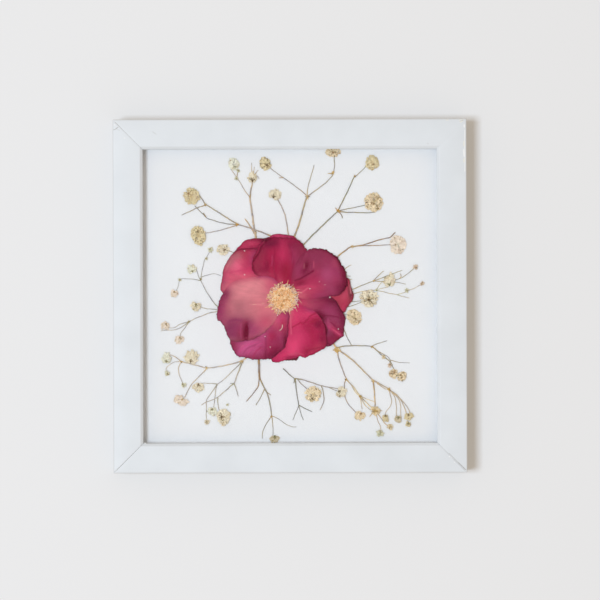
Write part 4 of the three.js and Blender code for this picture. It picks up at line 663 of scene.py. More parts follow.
def petal_piece(plan, bed, material, settings, rng):
    """One petal: a sheet from its heart to its margin, draped on what is under it."""
    rim = petal_margin(plan, rng, settings.frill)
    heart = np.array(plan.heart, float)
    rings = settings.rings
    share = np.linspace(0.02, 1, rings)[:, None, None]
    flat = (heart + (rim - heart) * share).reshape(-1, 2)
    size = np.linalg.norm(rim - heart, axis=1)
    inward = ((1 - share[:, :, 0]) * size).ravel()
    x, z = flat[:, 0], flat[:, 1]
    keep = unmelted(plan, x, z)
    height = 0.05 + keep * bed.sample(bed.draped(settings.drape), x, z)
    height += (1 - keep) * bed.sample(bed.draped(SHEET_CELL), x, z)
    wave = sum(np.cos((x * math.cos(a) + z * math.sin(a)) * math.tau / w + p)
               for a, w, p in ((rng.uniform(0, 6.3), rng.uniform(6, 15), rng.uniform(0, 6.3))
                               for _ in range(7)))
    height += settings.wave * (0.5 + wave / 14) + crease_relief(plan, x, z)
    curl = np.clip(ripple(np.arange(len(rim)) * RIM_STEP, (17, 9, 5), (0.5, 0.35, 0.25), rng), 0, 1)
    height += settings.curl * keep * np.tile(curl, rings) * np.exp(-inward / 0.9)
    points = np.column_stack([x, z, height])
    bed.lay(points + (0, 0, PETAL_THICKNESS))
    away = flat - np.array(ROSE_HEART)
    fan = np.column_stack([np.arctan2(away[:, 1], away[:, 0]) * VEIN_ACROSS,
                           np.linalg.norm(away, axis=1) / VEIN_ALONG,
                           np.full(len(flat), rng.uniform(0, 50))])
    columns = len(rim)
    faces = grid_faces(rings, columns, closed=True)
    middle = len(points)
    faces += [(middle, (i + 1) % columns, i) for i in range(columns)]
    points = np.vstack([points, [*heart, points[:columns, 2].mean()]])
    colours = stained(plan, flat, inward)
    colours = np.vstack([colours, colours[:columns].mean(axis=0)])
    fan = np.vstack([fan, fan[:columns].mean(axis=0)])
    piece = make_piece(plan.name, place(points), faces, material, colours, fan)
    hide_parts("rose_" + plan.name)
    return piece


# ---- small shapes of the dried flowers ----
def add_thread(heap, path, radii, colours, sides=6, flat=0.75):
    """A round-ended thread along points (x, z, height), lying on its side."""
    path, radii = np.asarray(path, float), np.asarray(radii, float)
    run = np.gradient(path[:, :2], axis=0)
    run /= np.maximum(np.linalg.norm(run, axis=1, keepdims=True), 1e-9)
    across = np.column_stack([-run[:, 1], run[:, 0]])
    turn = np.arange(sides) * math.tau / sides
    rings = []
    for centre, side, radius in zip(path, across, radii):
        ring = np.empty((sides, 3))
        ring[:, :2] = centre[:2] + np.outer(np.cos(turn) * radius, side)
        ring[:, 2] = centre[2] + np.sin(turn) * radius * flat
        rings.append(ring)
    points = np.vstack(rings + [path[:1], path[-1:]])
    n = len(path)
    faces = grid_faces(n, sides, closed=True)
    faces += [(n * sides, (i + 1) % sides, i) for i in range(sides)]
    faces += [(n * sides + 1, (n - 1) * sides + i, (n - 1) * sides + (i + 1) % sides)
              for i in range(sides)]
    colours = np.broadcast_to(np.asarray(colours, float), (n, 3))
    heap.add(points, faces, np.vstack([np.repeat(colours, sides, axis=0), colours[:1], colours[-1:]]))


def add_grain(heap, centre, size, turn, colour, sides=7, rows=4):
    """A small rounded grain: an anther, a bud or a swollen joint."""
    points, faces = [(0, 0, 1)], []
    for r in range(1, rows):
        a = math.pi * r / rows
        for s in range(sides):
            t = math.tau * s / sides
            points.append((math.sin(a) * math.cos(t), math.sin(a) * math.sin(t), math.cos(a)))
    points.append((0, 0, -1))
    faces += [(0, 1 + s, 1 + (s + 1) % sides) for s in range(sides)]
    faces += [tuple(1 + i for i in face) for face in grid_faces(rows - 1, sides, closed=True)]
    last = len(points) - 1
    first = last - sides
    faces += [(last, first + (s + 1) % sides, first + s) for s in range(sides)]
    p = np.array(points) * np.array(size)
    p[:, 0], p[:, 1] = turned(p[:, 0], p[:, 1], turn)
    heap.add(p + np.array(centre), faces, colour)


CRUMPLE, LEAST_RISE = 0.035, 0.03       # how far a blade's points stray, and their least height, in mm


def add_blade(heap, root, angle, length, width, lift, root_colour, tip_colour, rng, rows=7):
    """A spoon-shaped floret petal or narrow sepal, crumpled and cupped, from its root outwards, with
    painted shade along its edges and tip.
    """
    faded_by = rng.uniform(0.3, 0.6)        # share of the length at which the tip colour is full
    u = np.linspace(0, 1, rows)
    broad = 0.3 + 0.7 * np.sin(np.minimum(u / 0.7, 1) * math.pi / 2)
    half = width / 2 * broad * np.sqrt(1 - (np.clip((u - 0.7) / 0.3, 0, 0.93)) ** 2)
    bend, twist = rng.uniform(-0.25, 0.25), rng.uniform(-0.12, 0.12)
    points, colours = [], []
    for i in range(rows):
        direction = angle + bend * u[i]
        middle = (root[0] + length * u[i] * math.cos(direction),
                  root[1] + length * u[i] * math.sin(direction))
        for v in (-1, -0.45, 0.2, 1):
            crumple = rng.uniform(-CRUMPLE, CRUMPLE)
            notch = -0.1 * length * (1 - abs(v)) if i == rows - 1 else 0
            x = middle[0] - math.sin(direction) * half[i] * v + notch * math.cos(direction)
            z = middle[1] + math.cos(direction) * half[i] * v + notch * math.sin(direction)
            rise = root[2] + lift * math.sin(math.pi * u[i]) + 0.1 * v * v * u[i] + twist * v * u[i]
            points.append((x, z, max(LEAST_RISE, rise + crumple)))
            # edges and tip are painted darker (0.86) as shade where petals overlap; the chance factor is
            # the petal's own tone
            shade = rng.uniform(0.93, 1.06) * (0.86 if abs(v) == 1 or i == rows - 1 else 1.0)
            tip = min(1.0, u[i] / faded_by)
            colours.append((root_colour * (1 - tip) + tip_colour * tip) * shade)
    heap.add(points, grid_faces(rows, 4), np.array(colours))


# ---- stamens ----
ANTHER_DYES = [np.array(linear(c)) for c in
               ("#ffe0b0", "#fed29c", "#f8c188", "#ffeccd", "#ecae6e", "#cc8c52", "#9c6a40")]
ANTHER_SHARES = (0.29, 0.26, 0.16, 0.17, 0.07, 0.035, 0.015)
CUSHION_DYE = np.array(linear("#e6b477"))
FILAMENT_DYES = [np.array(linear(c)) for c in ("#f4cfc0", "#eeb6a6", "#f0c08c", "#e8d6c6", "#d98f7c")]
DUST_DYES = [np.array(linear(c)) for c in ("#fdf5f0", "#f9e8e4", "#fbe4d2", "#e4c0c4", "#c997a2")]
# single filaments lying loose on the petals: dye, width, points
LOOSE_FILAMENTS = [
    (3, 0.4, [(-3.9, -14.4), (-3.9, -15.6), (-4.5, -16.7), (-5.4, -17.3)]),
    (1, 0.3, [(3, 1.6), (4.6, 2), (6, 1.4)]), (1, 0.3, [(2.6, -0.6), (4.4, -1.8), (5.8, -3.6)]),
    (3, 0.26, [(2.8, -2.6), (3.6, -4.4), (4.2, -5.8)]), (1, 0.26, [(1.4, -5), (3, -6.6), (3.6, -7.8)]),
    (2, 0.34, [(-1.4, 5), (-1.2, 6.6), (-0.9, 8.1)]), (1, 0.26, [(0, 4.6), (1.2, 5.4), (1.8, 6)]),
    (1, 0.22, [(-18.8, -4.2), (-17.6, -4.1), (-16.8, -4.2)]), (1, 0.22, [(-14.2, -3.5), (-12.8, -3.6)]),
    (2, 0.3, [(-9, -4.6), (-11.2, -5.4), (-12.6, -5.8)]), (2, 0.28, [(-6.6, 4.6), (-7.2, 6)]),
    (3, 0.24, [(-5.6, -6.2), (-6, -7.8), (-6.3, -9.2)]), (1, 0.24, [(3.4, 3.2), (4.8, 3.4)])]
# pale specks of pollen and dust on the petals and the card
SPECKS = [(10, 3.7, 0.32), (20, -0.7, 0.4), (-22.8, 22.8, 0.34), (-22.8, 10.8, 0.3), (-12.6, -20.3, 0.26),
          (-10, -25.6, 0.24), (14.8, 7.2, 0.22), (17.6, 5.6, 0.2), (24.2, -16.6, 0.3), (-6.3, -9.6, 0.3)]
CARD_SPECKS = [(64.8, 69.5, 0.3), (60.8, 10.8, 0.2), (69, 8, 0.2), (8.8, -68, 0.18), (35.4, 36.2, 0.16)]


# the boss from its middle outwards, in mm: the dense cushion, the reach of the anthers, where heaping
# ends, and where the filaments start and end; then the arc (radians) and the ring dusted with pollen
CUSHION, BOSS_REACH, HEAP_REACH = 5.6, 7.0, 7.2
FILAMENT_START, FILAMENT_END = (4.4, 5.8), (6.7, 8.2)
DUST_ARC, DUST_RING, DUST_GRAINS = (-0.95, 1.2), (6.2, 7.6), 80
ANTHER_SIZE = ((0.42, 0.8), (0.11, 0.19), (0.09, 0.15))     # ranges of half its length, width, height


def anther_at(distance_share, rng):
    """A chance place in the boss, evenly spread, as angle and radius in mm."""
    angle = rng.uniform(0, math.tau)
    edge = BOSS_REACH + 0.55 * max(0.0, -math.cos(angle - 0.2)) + 0.3 * math.sin(3 * angle + 1)
    edge += 0.2 * math.sin(5 * angle) + 0.25 * math.sin(11 * angle)
    return angle, edge * math.sqrt(distance_share)


def stamens_piece(bed, material, settings):
    """The boss of dried stamens: anthers heaped in the middle, filaments fanning out at its edge."""
    rng, heap = random.Random(11), Heap()
    cx, cz = ROSE_HEART
    grid = bed.draped(1.5)

    def top(x, z):
        return float(bed.sample(grid, np.array([x]), np.array([z]))[0])

    cushion = [(cx + r * math.cos(a), cz + r * math.sin(a)) for r in np.linspace(0.2, CUSHION, 12)
               for a in np.arange(32) * math.pi / 16]
    heights = [top(x, z) + 0.1 for x, z in cushion]
    heap.add(np.column_stack([cushion, heights]), grid_faces(12, 32, closed=True), CUSHION_DYE)
    for i in range(settings.anthers):
        angle, r = anther_at((i + 0.5) / settings.anthers, rng)
        rim = min(1.0, max(0.0, r - CUSHION))
        if rng.random() < 0.35 * rim:
            continue
        x, z = cx + r * math.cos(angle), cz + r * math.sin(angle)
        heaped = 0.16 + 0.5 * rng.random() * max(0.0, 1 - (r / HEAP_REACH) ** 2)
        colour = rng.choices(ANTHER_DYES, ANTHER_SHARES)[0] * rng.uniform(0.94, 1.14)
        size = [rng.uniform(*ends) for ends in ANTHER_SIZE]
        colour = colour * (1 - 0.35 * rim) + FILAMENT_DYES[rng.choice((1, 2, 4))] * 0.3 * rim
        lie = rng.uniform(-1, 1) * (math.pi / 2 - 0.9 * rim)
        add_grain(heap, (x, z, top(x, z) + heaped), size, angle + lie, colour)
    for i in range(settings.filaments):
        angle = math.tau * (i + rng.uniform(-0.4, 0.4)) / settings.filaments
        start, end = rng.uniform(*FILAMENT_START), rng.uniform(*FILAMENT_END)
        bend = rng.uniform(-0.16, 0.16)
        path = []
        for s in np.linspace(0, 1, 6):
            r, a = start + (end - start) * s, angle + bend * s * s
            x, z = cx + r * math.cos(a), cz + r * math.sin(a)
            path.append((x, z, top(x, z) + 0.12 + 0.22 * math.sin(math.pi * s)))
        dye = rng.choice(FILAMENT_DYES)
        add_thread(heap, path, np.full(6, rng.uniform(0.1, 0.16)), dye * rng.uniform(0.85, 1.05), sides=5)
        if rng.random() < 0.75:
            colour = rng.choices(ANTHER_DYES, ANTHER_SHARES)[0] * rng.uniform(0.75, 1.0)
            add_grain(heap, path[-1], (0.46, 0.24, 0.15), angle + rng.uniform(-0.7, 0.7), colour)
    for _ in range(DUST_GRAINS):
        angle, r = rng.uniform(*DUST_ARC), rng.uniform(*DUST_RING)
        x, z = cx + r * math.cos(angle), cz + r * math.sin(angle)
        add_grain(heap, (x, z, top(x, z) + rng.uniform(0.08, 0.3)),
                  (rng.uniform(0.16, 0.4), rng.uniform(0.09, 0.16), 0.08), angle + rng.uniform(-0.9, 0.9),
                  rng.choice(DUST_DYES))
    for dye, width, line in LOOSE_FILAMENTS:
        path = np.array([(x, z, top(x, z) + 0.1) for x, z in curve_through(line, CREASE_STEP)])
        radii = width / 2 * np.linspace(1, 0.6, len(path))
        add_thread(heap, path, radii, FILAMENT_DYES[dye], sides=6)
    for x, z, radius in SPECKS:
        add_grain(heap, (x, z, top(x, z) + 0.06), (radius, radius * 0.7, 0.08), x, DUST_DYES[0])
    piece = heap.make("stamens_and_pollen", material)
    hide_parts("rose_stamens")
    return piece


# ---- baby's breath ----
# Each spray has its level above the card, stem dye and joint dye, then its parts:
#   twigs: width and points from the root outwards;
#   florets: x, z, half width, half height, turn in radians; form, inner and outer dye; x, z (from
#     the floret's middle), length and dye of the calyx;
#   joints: x, z, half width, half height and sometimes turn; buds: which joints are buds, and their dye;
#   root: where it forks off another spray; flecked: how many brown tips show between its petals.
Spray = namedtuple("Spray", "level stem joint twigs florets joints buds root flecked",
                   defaults=([], [], {}, None, 1.0))

SPRAYS = {
    "spray_a_lower": Spray(1, "stone", "amber", [
        (0.8, (-6.5, 28.5), (-10, 30.3), (-14, 32), (-18, 33.4), (-22, 34.8), (-26.6, 36)),
        (0.55, (-26, 35.9), (-30, 34.6), (-36, 32.9), (-43, 31.6))],
        florets=[(-46, 30.5, 3.7, 5, 0.25, "open", "straw", "buff", -0.5, 1.8, 1.7, "umber")],
        joints=[(-26.3, 36, 1.3, 0.8)], flecked=1.5),
    "spray_a_upper": Spray(1, "flax", "gold", [
        (0.65, (-28.3, 37.3), (-30, 38.3), (-36.5, 42.5), (-42, 46), (-43.8, 48.2), (-45.6, 51)),
        (0.55, (-42, 46), (-43.6, 45.3), (-46, 44.7), (-49.5, 43), (-54.4, 40.8))],
        florets=[(-49.3, 50.3, 4.1, 4.2, 0.3, "open", "straw", "buff", -1.5, 1.2, 1.8, "russet")],
        joints=[(-42.4, 45.9, 0.9, 0.6, 0.4)], root=(-26.3, 36.1)),
    "spray_a_middle": Spray(0, "grey", "gold", [
        (0.5, (-28.4, 36.1), (-31, 36.3), (-34.8, 37), (-38, 38), (-41.5, 39.2), (-43.4, 41), (-46.2, 43.8),
         (-47.8, 45.6)),
        (0.6, (-42.2, 39.7), (-43.4, 41.9))],
        root=(-26.4, 36)),
    "spray_b_stem": Spray(0, "clay", "honey", [
        (1.1, (-16.6, 26), (-17.4, 31), (-18.1, 34.5), (-18.8, 40), (-19.5, 45), (-20.1, 49.3)),
        (0.8, (-17.9, 31.5), (-20, 35.2), (-22.6, 38.9))],
        joints=[(-17.8, 32, 0.9, 1.4)]),
    "spray_b_left": Spray(0, "dun", "tan", [
        (0.5, (-20.6, 50.5), (-22.5, 52.8), (-24, 55.5), (-26.2, 59), (-28.2, 61.8), (-29.6, 64)),
        (0.6, (-26.4, 59.4), (-27.9, 58.7)), (0.5, (-26.6, 59.5), (-26.3, 62), (-26.8, 64.5))],
        florets=[(-28.1, 66.4, 2.8, 3.2, 0.5, "open", "chalk", "ivory", 0.6, -1.4, 1.3, "olive")],
        joints=[(-26.9, 59.1, 0.8, 0.9), (-25.9, 62.9, 0.9, 1)], buds={0: "fern", 1: "fern"},
        root=(-20.1, 48.9), flecked=0.3),
    "spray_b_right": Spray(0, "dun", "gold", [
        (0.8, (-19.9, 50.9), (-19.6, 53), (-18.9, 56.5), (-18.7, 60)), (0.4, (-19, 60), (-19.2, 67)),
        (0.4, (-18.4, 60), (-17.8, 65)), (0.45, (-18.2, 60), (-16.4, 62.7), (-15.7, 63.3)),
        (0.4, (-18, 60), (-16.2, 60.3), (-15.3, 58.8))],
        florets=[(-18.7, 59.8, 2.3, 2.8, 0, "side", "straw", "cream", 0, -2, 2.2, "walnut")],
        root=(-20, 48.8), flecked=2.2),
    "spray_c": Spray(0, "clay", "tan", [
        (0.7, (0.2, 27.3), (-0.8, 31), (-1.4, 35), (-2.3, 40), (-3.7, 44), (-5, 46.5), (-6.4, 49.4))],
        florets=[(-7.3, 51.2, 3.4, 2.8, 0.1, "side", "cream", "cream", -1.0, -1.7, 1.9, "walnut")]),
    "spray_d_stem": Spray(0, "flax", "honey", [
        (1, (1, 27.3), (2.4, 30.5), (4, 34.5), (5.7, 40), (7.3, 46), (8.7, 50)),
        (0.45, (8.7, 50), (9, 54), (10, 58), (11.2, 62), (12.3, 65.8)),
        (0.55, (8.8, 50), (12, 52.3), (15, 54.5), (18, 56.8), (20, 58.8), (21.6, 60.8), (22.2, 63),
         (22.5, 66), (22.2, 71)),
        (0.6, (21.6, 61.5), (19.1, 61.5))],
        florets=[(21.7, 72.5, 4, 2.5, 0, "open", "straw", "peach", 0, -0.6, 1.6, "russet")],
        joints=[(8.7, 49.6, 1, 1.5), (21.8, 61.9, 0.8, 1.4)], flecked=2.2),
    "spray_d_left": Spray(0, "fawn", "amber", [
        (0.55, (7.3, 51.6), (4, 54.2), (0, 57.2), (-4, 60), (-8, 62.9), (-10.4, 64.9)),
        (0.5, (-3.2, 59.5), (-5.5, 59.3))],
        florets=[(-12.3, 66.5, 2.8, 3.5, 0.3, "open", "straw", "buff", 0.8, -0.7, 2.0, "umber")],
        root=(8.6, 50), flecked=2.2),
    "spray_e_right": Spray(0, "sage", "amber", [
        (0.79, (5, 23.9), (7.4, 26.3), (10.5, 29.7), (14.5, 33.5), (19.5, 38.3), (24.2, 42.6)),
        (0.6, (24.4, 42.6), (26, 40.5), (26.3, 39)), (0.5, (23.9, 43), (22.8, 44.3)),
        (0.5, (24.4, 42.8), (30, 43.9), (34, 44.7), (38.5, 45.8)),
        (0.6, (24.4, 42.5), (28, 42), (33, 41.9), (38, 41.7), (43, 42))],
        florets=[(42.2, 46.8, 4.7, 4.9, 0.5, "open", "straw", "peach", 0, -0.4, 0.9, "russet")],
        joints=[(24.2, 42.8, 1.2, 1)], flecked=3.0),
    "spray_e_upper": Spray(0, "sage", "gold", [
        (0.65, (25.1, 44.7), (26, 46.5), (28, 50.5), (30, 54.5), (31.5, 58), (32.5, 59.8), (33.8, 60.6)),
        (0.4, (33, 60), (35.5, 62.2), (37.5, 64.2), (39.2, 65.9))],
        florets=[(41.4, 66.9, 3.4, 4, 0.1, "open", "straw", "buff", 0.6, -0.8, 1.0, "russet")],
        joints=[(32.7, 60, 0.8, 0.7)], root=(24.3, 42.9)),
    "spray_f": Spray(0, "drab", "honey", [
        (0.85, (20.5, 17.4), (24, 19.9), (27, 22.2), (30, 24.3), (31.8, 24.8)),
        (0.7, (31.2, 24.7), (35, 25.2), (38, 25.9), (42, 27.2), (46, 28.4), (50, 29.2), (51.2, 30.2),
         (53, 31.8)),
        (0.5, (33, 25), (38, 25.2), (44, 25.3), (51, 25.7))],
        florets=[(54.2, 25.6, 4.1, 4.9, 0.2, "open", "cream", "blush", -1, 0, 0.9, "tan")],
        joints=[(31.2, 24.8, 1.4, 0.9, 0.3)], flecked=0.5),
    "spray_g_upper": Spray(1, "hay", "honey", [
        (0.5, (29.5, 2.3), (32, 3.5), (35, 4.8), (38, 6), (42, 7.5)),
        (0.4, (41.8, 7.4), (44.5, 10.3), (47, 12.4)),
        (0.4, (41.8, 7.4), (46, 8.9), (49, 10.1), (52, 11.2), (55, 12.3), (56.3, 12.8)),
        (0.4, (41.8, 7.4), (46.5, 7.2), (51, 7.4), (55, 8.6), (57, 9.6), (59, 11), (62.9, 14.2)),
        (0.35, (51, 7), (55, 6.5), (58.2, 5.8)), (0.35, (55.4, 8.8), (55.8, 10.2), (55.2, 11.2)),
        (0.35, (27, 13), (29.2, 14.8), (30.8, 15.6)), (0.4, (28.2, 10), (30.4, 9.8)),
        (0.4, (28.2, 8), (31, 8.3))],
        florets=[(49.7, 7.9, 2.9, 3.4, -0.2, "side", "cream", "cream", 0.3, -2.6, 1.9, "olive")],
        joints=[(42, 7.5, 0.9, 0.6), (63, 14.3, 1.2, 1.3)], buds={1: "rosy_tan"}),
    "spray_g_lower": Spray(0, "oat", "fern", [
        (0.55, (29.5, 0.3), (32.3, 1.2), (36, 2.1), (40, 2.8), (43.3, 2.8)),
        (0.4, (43.2, 2.8), (45, 5.6), (46.6, 7.2)), (0.4, (43.2, 2.8), (46, 3.7), (49.5, 4.4)),
        (0.45, (43.2, 2.7), (47, 2), (50, 1.2), (54, 0.5)),
        (0.4, (53.6, 0.5), (57, 1.5), (60, 2.8), (62.5, 3.8), (66, 5.7)),
        (0.4, (53.6, 0.5), (57, -0.5), (60, -1.2))],
        joints=[(43.2, 2.8, 0.8, 0.8), (58.5, 2.6, 1, 1.1), (66.3, 6, 1.2, 1.2)],
        buds={1: "fern", 2: "rosy_tan"}),
    "spray_g_floret": Spray(1, "hay", "khaki", [
        (0.4, (27.5, -5.9), (32.5, -4.5), (36, -3)), (0.4, (30, -3.1), (36, -2.5))],
        florets=[(39.6, -1.3, 4.5, 4.5, 0.2, "open", "straw", "cream", -0.1, -0.7, 2.8, "walnut")],
        flecked=1.5),
    "floret_right": Spray(0, "khaki", "tan", [
        (0.4, (24.5, -9.6), (27, -9.3), (30, -9.2))],
        florets=[(32.3, -10.6, 3.7, 4.1, 0.6, "open", "straw", "peach", 0.5, -0.9, 0.9, "russet")],
        flecked=1.5),
    "spray_h_fan": Spray(1, "oat", "honey", [
        (1, (19, -20.5), (21.5, -23.8), (23.3, -26.6)),
        (0.85, (23.1, -26.3), (28, -29.8), (32, -33), (36, -37), (39, -40), (41.7, -42.7)),
        (0.7, (41.5, -42.5), (45, -44.3), (49.3, -46.8)), (0.4, (43.5, -44), (47, -46.4), (49.3, -47.2)),
        (0.35, (49.3, -46.9), (50.2, -50), (50.8, -53), (50, -55.8), (48.1, -58), (47.2, -61)),
        (0.35, (49.3, -46.9), (52, -50), (53, -54), (53.2, -58), (53.2, -61.5)),
        (0.35, (49.3, -46.9), (53.5, -50.8), (55.2, -54.5), (55.4, -61.5)),
        (0.45, (49.3, -46.9), (54, -50.4), (57, -55.5), (58.4, -60)),
        (0.4, (49.3, -46.9), (55, -51.5), (59, -56.5), (60.2, -60))],
        florets=[(59.5, -60.8, 2.1, 2.2, 0.1, "side", "straw", "buff", -0.3, 1.3, 1.4, "umber"),
                 (54.1, -62.1, 1.8, 2, 0, "side", "fern", "parchment", 0, 1.3, 1.4, "olive"),
                 (47.6, -61.8, 1.4, 2.1, 0, "bud", "straw", "buff", 0.2, 1.9, 1.2, "umber"),
                 (59, -64.6, 1.3, 1.4, 0, "side", "straw", "buff", 0.3, 0.8, 1.0, "olive")],
        joints=[(23.3, -27, 1.8, 2.5, 0.2), (41.6, -42.6, 1, 0.8), (49.4, -46.9, 1.2, 0.9)], flecked=1.9),
    "spray_h_right": Spray(0, "reed", "gold", [
        (0.7, (25.1, -25.6), (28, -25.2), (33, -25), (39, -25.2), (41.5, -25.5)),
        (0.5, (25.6, -14), (27.5, -17.8), (28.2, -20), (29.5, -22.5), (30.9, -25)),
        (0.45, (41, -25.3), (44, -24), (48.7, -22.6)),
        (0.6, (41.1, -25.2), (44, -28), (46.3, -30.2), (49.3, -32.3), (50.6, -34), (52.3, -37.5)),
        (0.4, (43.8, -27.8), (47.5, -29.7), (49.6, -31.3), (51.3, -35)),
        (0.35, (50, -32.3), (55, -33.5), (60, -33.7))],
        florets=[(51.9, -39.2, 2.3, 2.5, 0.3, "open", "straw", "peach", 0.4, 0.8, 1.5, "russet"),
                 (56.1, -40.5, 2.3, 2.6, -0.2, "open", "straw", "peach", -0.8, 0.6, 1.0, "russet")],
        joints=[(41.1, -25.5, 0.9, 0.7), (46.8, -30.7, 0.8, 1.2), (49.9, -34.8, 0.9, 1.5)],
        buds={1: "straw", 2: "rosy_tan"}, root=(23.2, -26.4), flecked=3.2),
    "spray_h_cluster": Spray(0, "biscuit", "honey", [
        (0.8, (41.7, -43.9), (42, -46), (42.3, -50), (42.5, -54), (42.5, -57)),
        (0.45, (42.5, -57), (46.2, -57.9)), (0.5, (42.6, -57.5), (45, -60.7), (47, -63.6), (49.6, -66)),
        (0.4, (42.6, -57.5), (44, -63), (45.3, -66), (45.4, -69)), (0.5, (42, -57.5), (39.8, -60.8))],
        joints=[(42.5, -58, 2.4, 2.3), (45.1, -69, 2.1, 1.7), (50, -65.9, 1.7, 1.8)],
        buds={0: "honey", 1: "fern", 2: "straw"}, root=(41.6, -42.6)),
    "spray_h_down": Spray(0, "taupe", "honey", [
        (0.7, (23.8, -28.4), (24.2, -31), (25.5, -35), (27, -39), (28.2, -41.9)),
        (0.55, (28.2, -41.6), (27.3, -43.5), (27.2, -46), (27.4, -50), (28.3, -53), (30, -55.5),
         (33.2, -58.9))],
        florets=[(34.8, -60.3, 2.9, 2.5, 0.4, "side", "straw", "peach", 0.7, 1.5, 1.2, "russet")],
        joints=[(28.1, -41.9, 0.7, 0.9)], root=(23.3, -26.6), flecked=1.6),
    "spray_h_inner": Spray(1, "buff", "gold", [
        (0.6, (28.9, -42.9), (31.5, -45.6), (35.1, -50.5)), (0.4, (30.6, -44.9), (33, -48.8), (35, -50.5)),
        (0.6, (35, -50.4), (38.5, -54), (41, -56.4)), (0.4, (35, -50.6), (37.5, -55), (40.2, -57.4)),
        (0.35, (35, -50.6), (35.6, -54.5), (36, -57)), (0.4, (35, -50.4), (39.3, -52.2), (42, -53.2))],
        joints=[(35.1, -50.5, 1.2, 1)], root=(28.1, -41.9)),
    "spray_i_stem": Spray(0, "grey", "khaki", [
        (0.65, (-3.6, -36.4), (0, -39.8), (2.4, -41.8)),
        (0.6, (2.4, -41.8), (2.7, -44), (3.1, -48), (3.9, -53), (4.3, -55.5)),
        (0.4, (4.3, -55), (2.6, -59), (1.2, -62.3)), (0.4, (4.3, -55), (5.2, -58.8), (6.5, -62.3)),
        (0.5, (4.3, -54.9), (8, -56.8), (10.9, -58.2)), (0.6, (2.4, -41.8), (1.8, -43.7))],
        joints=[(2.4, -41.8, 0.9, 0.7)]),
    "spray_i_right": Spray(1, "taupe", "khaki", [
        (0.45, (3.5, -41.7), (5.5, -44.2), (8.6, -46.8)),
        (0.6, (3.5, -41.5), (7, -42.3), (11, -43.6), (15.5, -45.1), (19, -45.8), (24, -46.6)),
        (0.35, (19, -45.8), (23.6, -47.9)),
        (0.45, (15.5, -45.1), (16.4, -48), (16.8, -52), (16.3, -54.2), (14.8, -57.3))],
        florets=[(11.4, -49.3, 4.1, 3.8, 0, "open", "straw", "peach", -0.4, -2.2, 1.9, "umber"),
                 (25.4, -48.3, 2.9, 2.7, 0.3, "side", "fern", "cream", -1.2, 0.5, 1.6, "walnut")],
        root=(2.4, -41.7), flecked=1.3),
    "spray_j_stem": Spray(0, "drab", "tan", [
        (1.3, (-15.4, -28), (-15.8, -32), (-15.7, -36), (-15.6, -40), (-15.3, -42)),
        (0.6, (-15.6, -41), (-15.9, -44), (-16.4, -45.7), (-18.5, -48.7), (-22, -52.8))]),
    "spray_j_tip": Spray(0, "reed", "gold", [
        (0.75, (-14.5, -43.2), (-13.6, -45), (-12.5, -47.3), (-11.5, -49.2), (-10.3, -54), (-9.7, -58),
         (-9.4, -60.4)),
        (0.5, (-12.9, -46.4), (-14.5, -50), (-17.3, -54.8)), (0.45, (-12, -48), (-9.8, -49.8)),
        (0.45, (-9.4, -60.2), (-12, -64), (-13.8, -67.7), (-14.2, -71.5)),
        (0.4, (-9.4, -60.2), (-8.9, -64), (-8.7, -70.5)),
        (0.35, (-9.4, -60.2), (-6.5, -61.4), (-2, -64.5), (1, -65.7), (3, -65.7))],
        florets=[(-7.9, -71.7, 2.6, 1.9, 0, "bud", "fern", "parchment", 0, 1.5, 1.8, "olive")],
        joints=[(-9.5, -60.4, 0.7, 0.8)], root=(-15.4, -41.4)),
    "spray_k_left": Spray(1, "dun", "honey", [
        (0.9, (-18.5, -28), (-21.2, -30.2), (-24.5, -32.7)),
        (0.75, (-24.3, -32.6), (-27, -33.4), (-32, -34.6), (-37, -35.5), (-41.5, -36), (-45, -35.3),
         (-48, -34.5), (-51, -33.7), (-55, -32.8)),
        (0.5, (-54.6, -32.9), (-57, -31), (-60, -29.4), (-61.7, -30.2)),
        (0.35, (-54.8, -32.9), (-58, -32.9), (-60, -34), (-62.3, -35.8), (-62.2, -38)),
        (0.35, (-54.8, -32.9), (-56.2, -36), (-55.9, -39), (-55, -41.5), (-53.9, -44)),
        (0.5, (-41.8, -36), (-43.5, -37.9), (-46, -40.4), (-49.8, -44.4), (-52, -48.5), (-53.4, -51))],
        florets=[(-49.6, -30.4, 3.5, 3.6, 0, "side", "cream", "cream", -0.4, -2.6, 1.6, "umber"),
                 (-62, -30.8, 2.4, 3.1, 0, "side", "ivory", "ivory", -0.2, -2.2, 1.4, "olive"),
                 (-54.9, -52.4, 3.9, 2.6, -0.2, "side", "cream", "blush", 0.9, 0.9, 1.2, "gold_tan")],
        joints=[(-24.3, -32.7, 1.2, 0.9), (-54.7, -32.8, 0.9, 0.6), (-42, -35.9, 0.9, 0.6),
                (-61.9, -38.8, 1.3, 1.3), (-53.7, -44.6, 1.2, 1.2)], buds={3: "fern", 4: "fern"},
        flecked=0.4),
    "spray_k_middle": Spray(0, "dun", "khaki", [
        (0.55, (-25.7, -34.4), (-28, -36.6), (-30, -38.5), (-33, -41.5), (-36.8, -44.4)),
        (0.45, (-36.6, -44.1), (-40, -43.8), (-44, -43.7), (-46.3, -44.4)),
        (0.5, (-36.6, -44.2), (-38, -46), (-40, -49), (-42, -51.8), (-42.2, -55), (-42.2, -58)),
        (0.35, (-42.2, -57.7), (-42.3, -60), (-42, -62.7)), (0.45, (-42.2, -57.8), (-40.2, -57.9)),
        (0.45, (-36.7, -44.3), (-37.5, -47), (-37.9, -51), (-38.6, -56.2))],
        florets=[(-46.3, -45.9, 3.2, 2.2, 0, "side", "cream", "cream", 0.3, 1.8, 1.7, "umber"),
                 (-39.3, -57.9, 2.4, 2.2, 0, "side", "ivory", "ivory", 0, 1.4, 1.4, "olive")],
        joints=[(-41.9, -63.1, 1.3, 1.2)], buds={0: "parchment"}, root=(-24.4, -32.8)),
    "spray_k_down": Spray(1, "dun", "moss", [
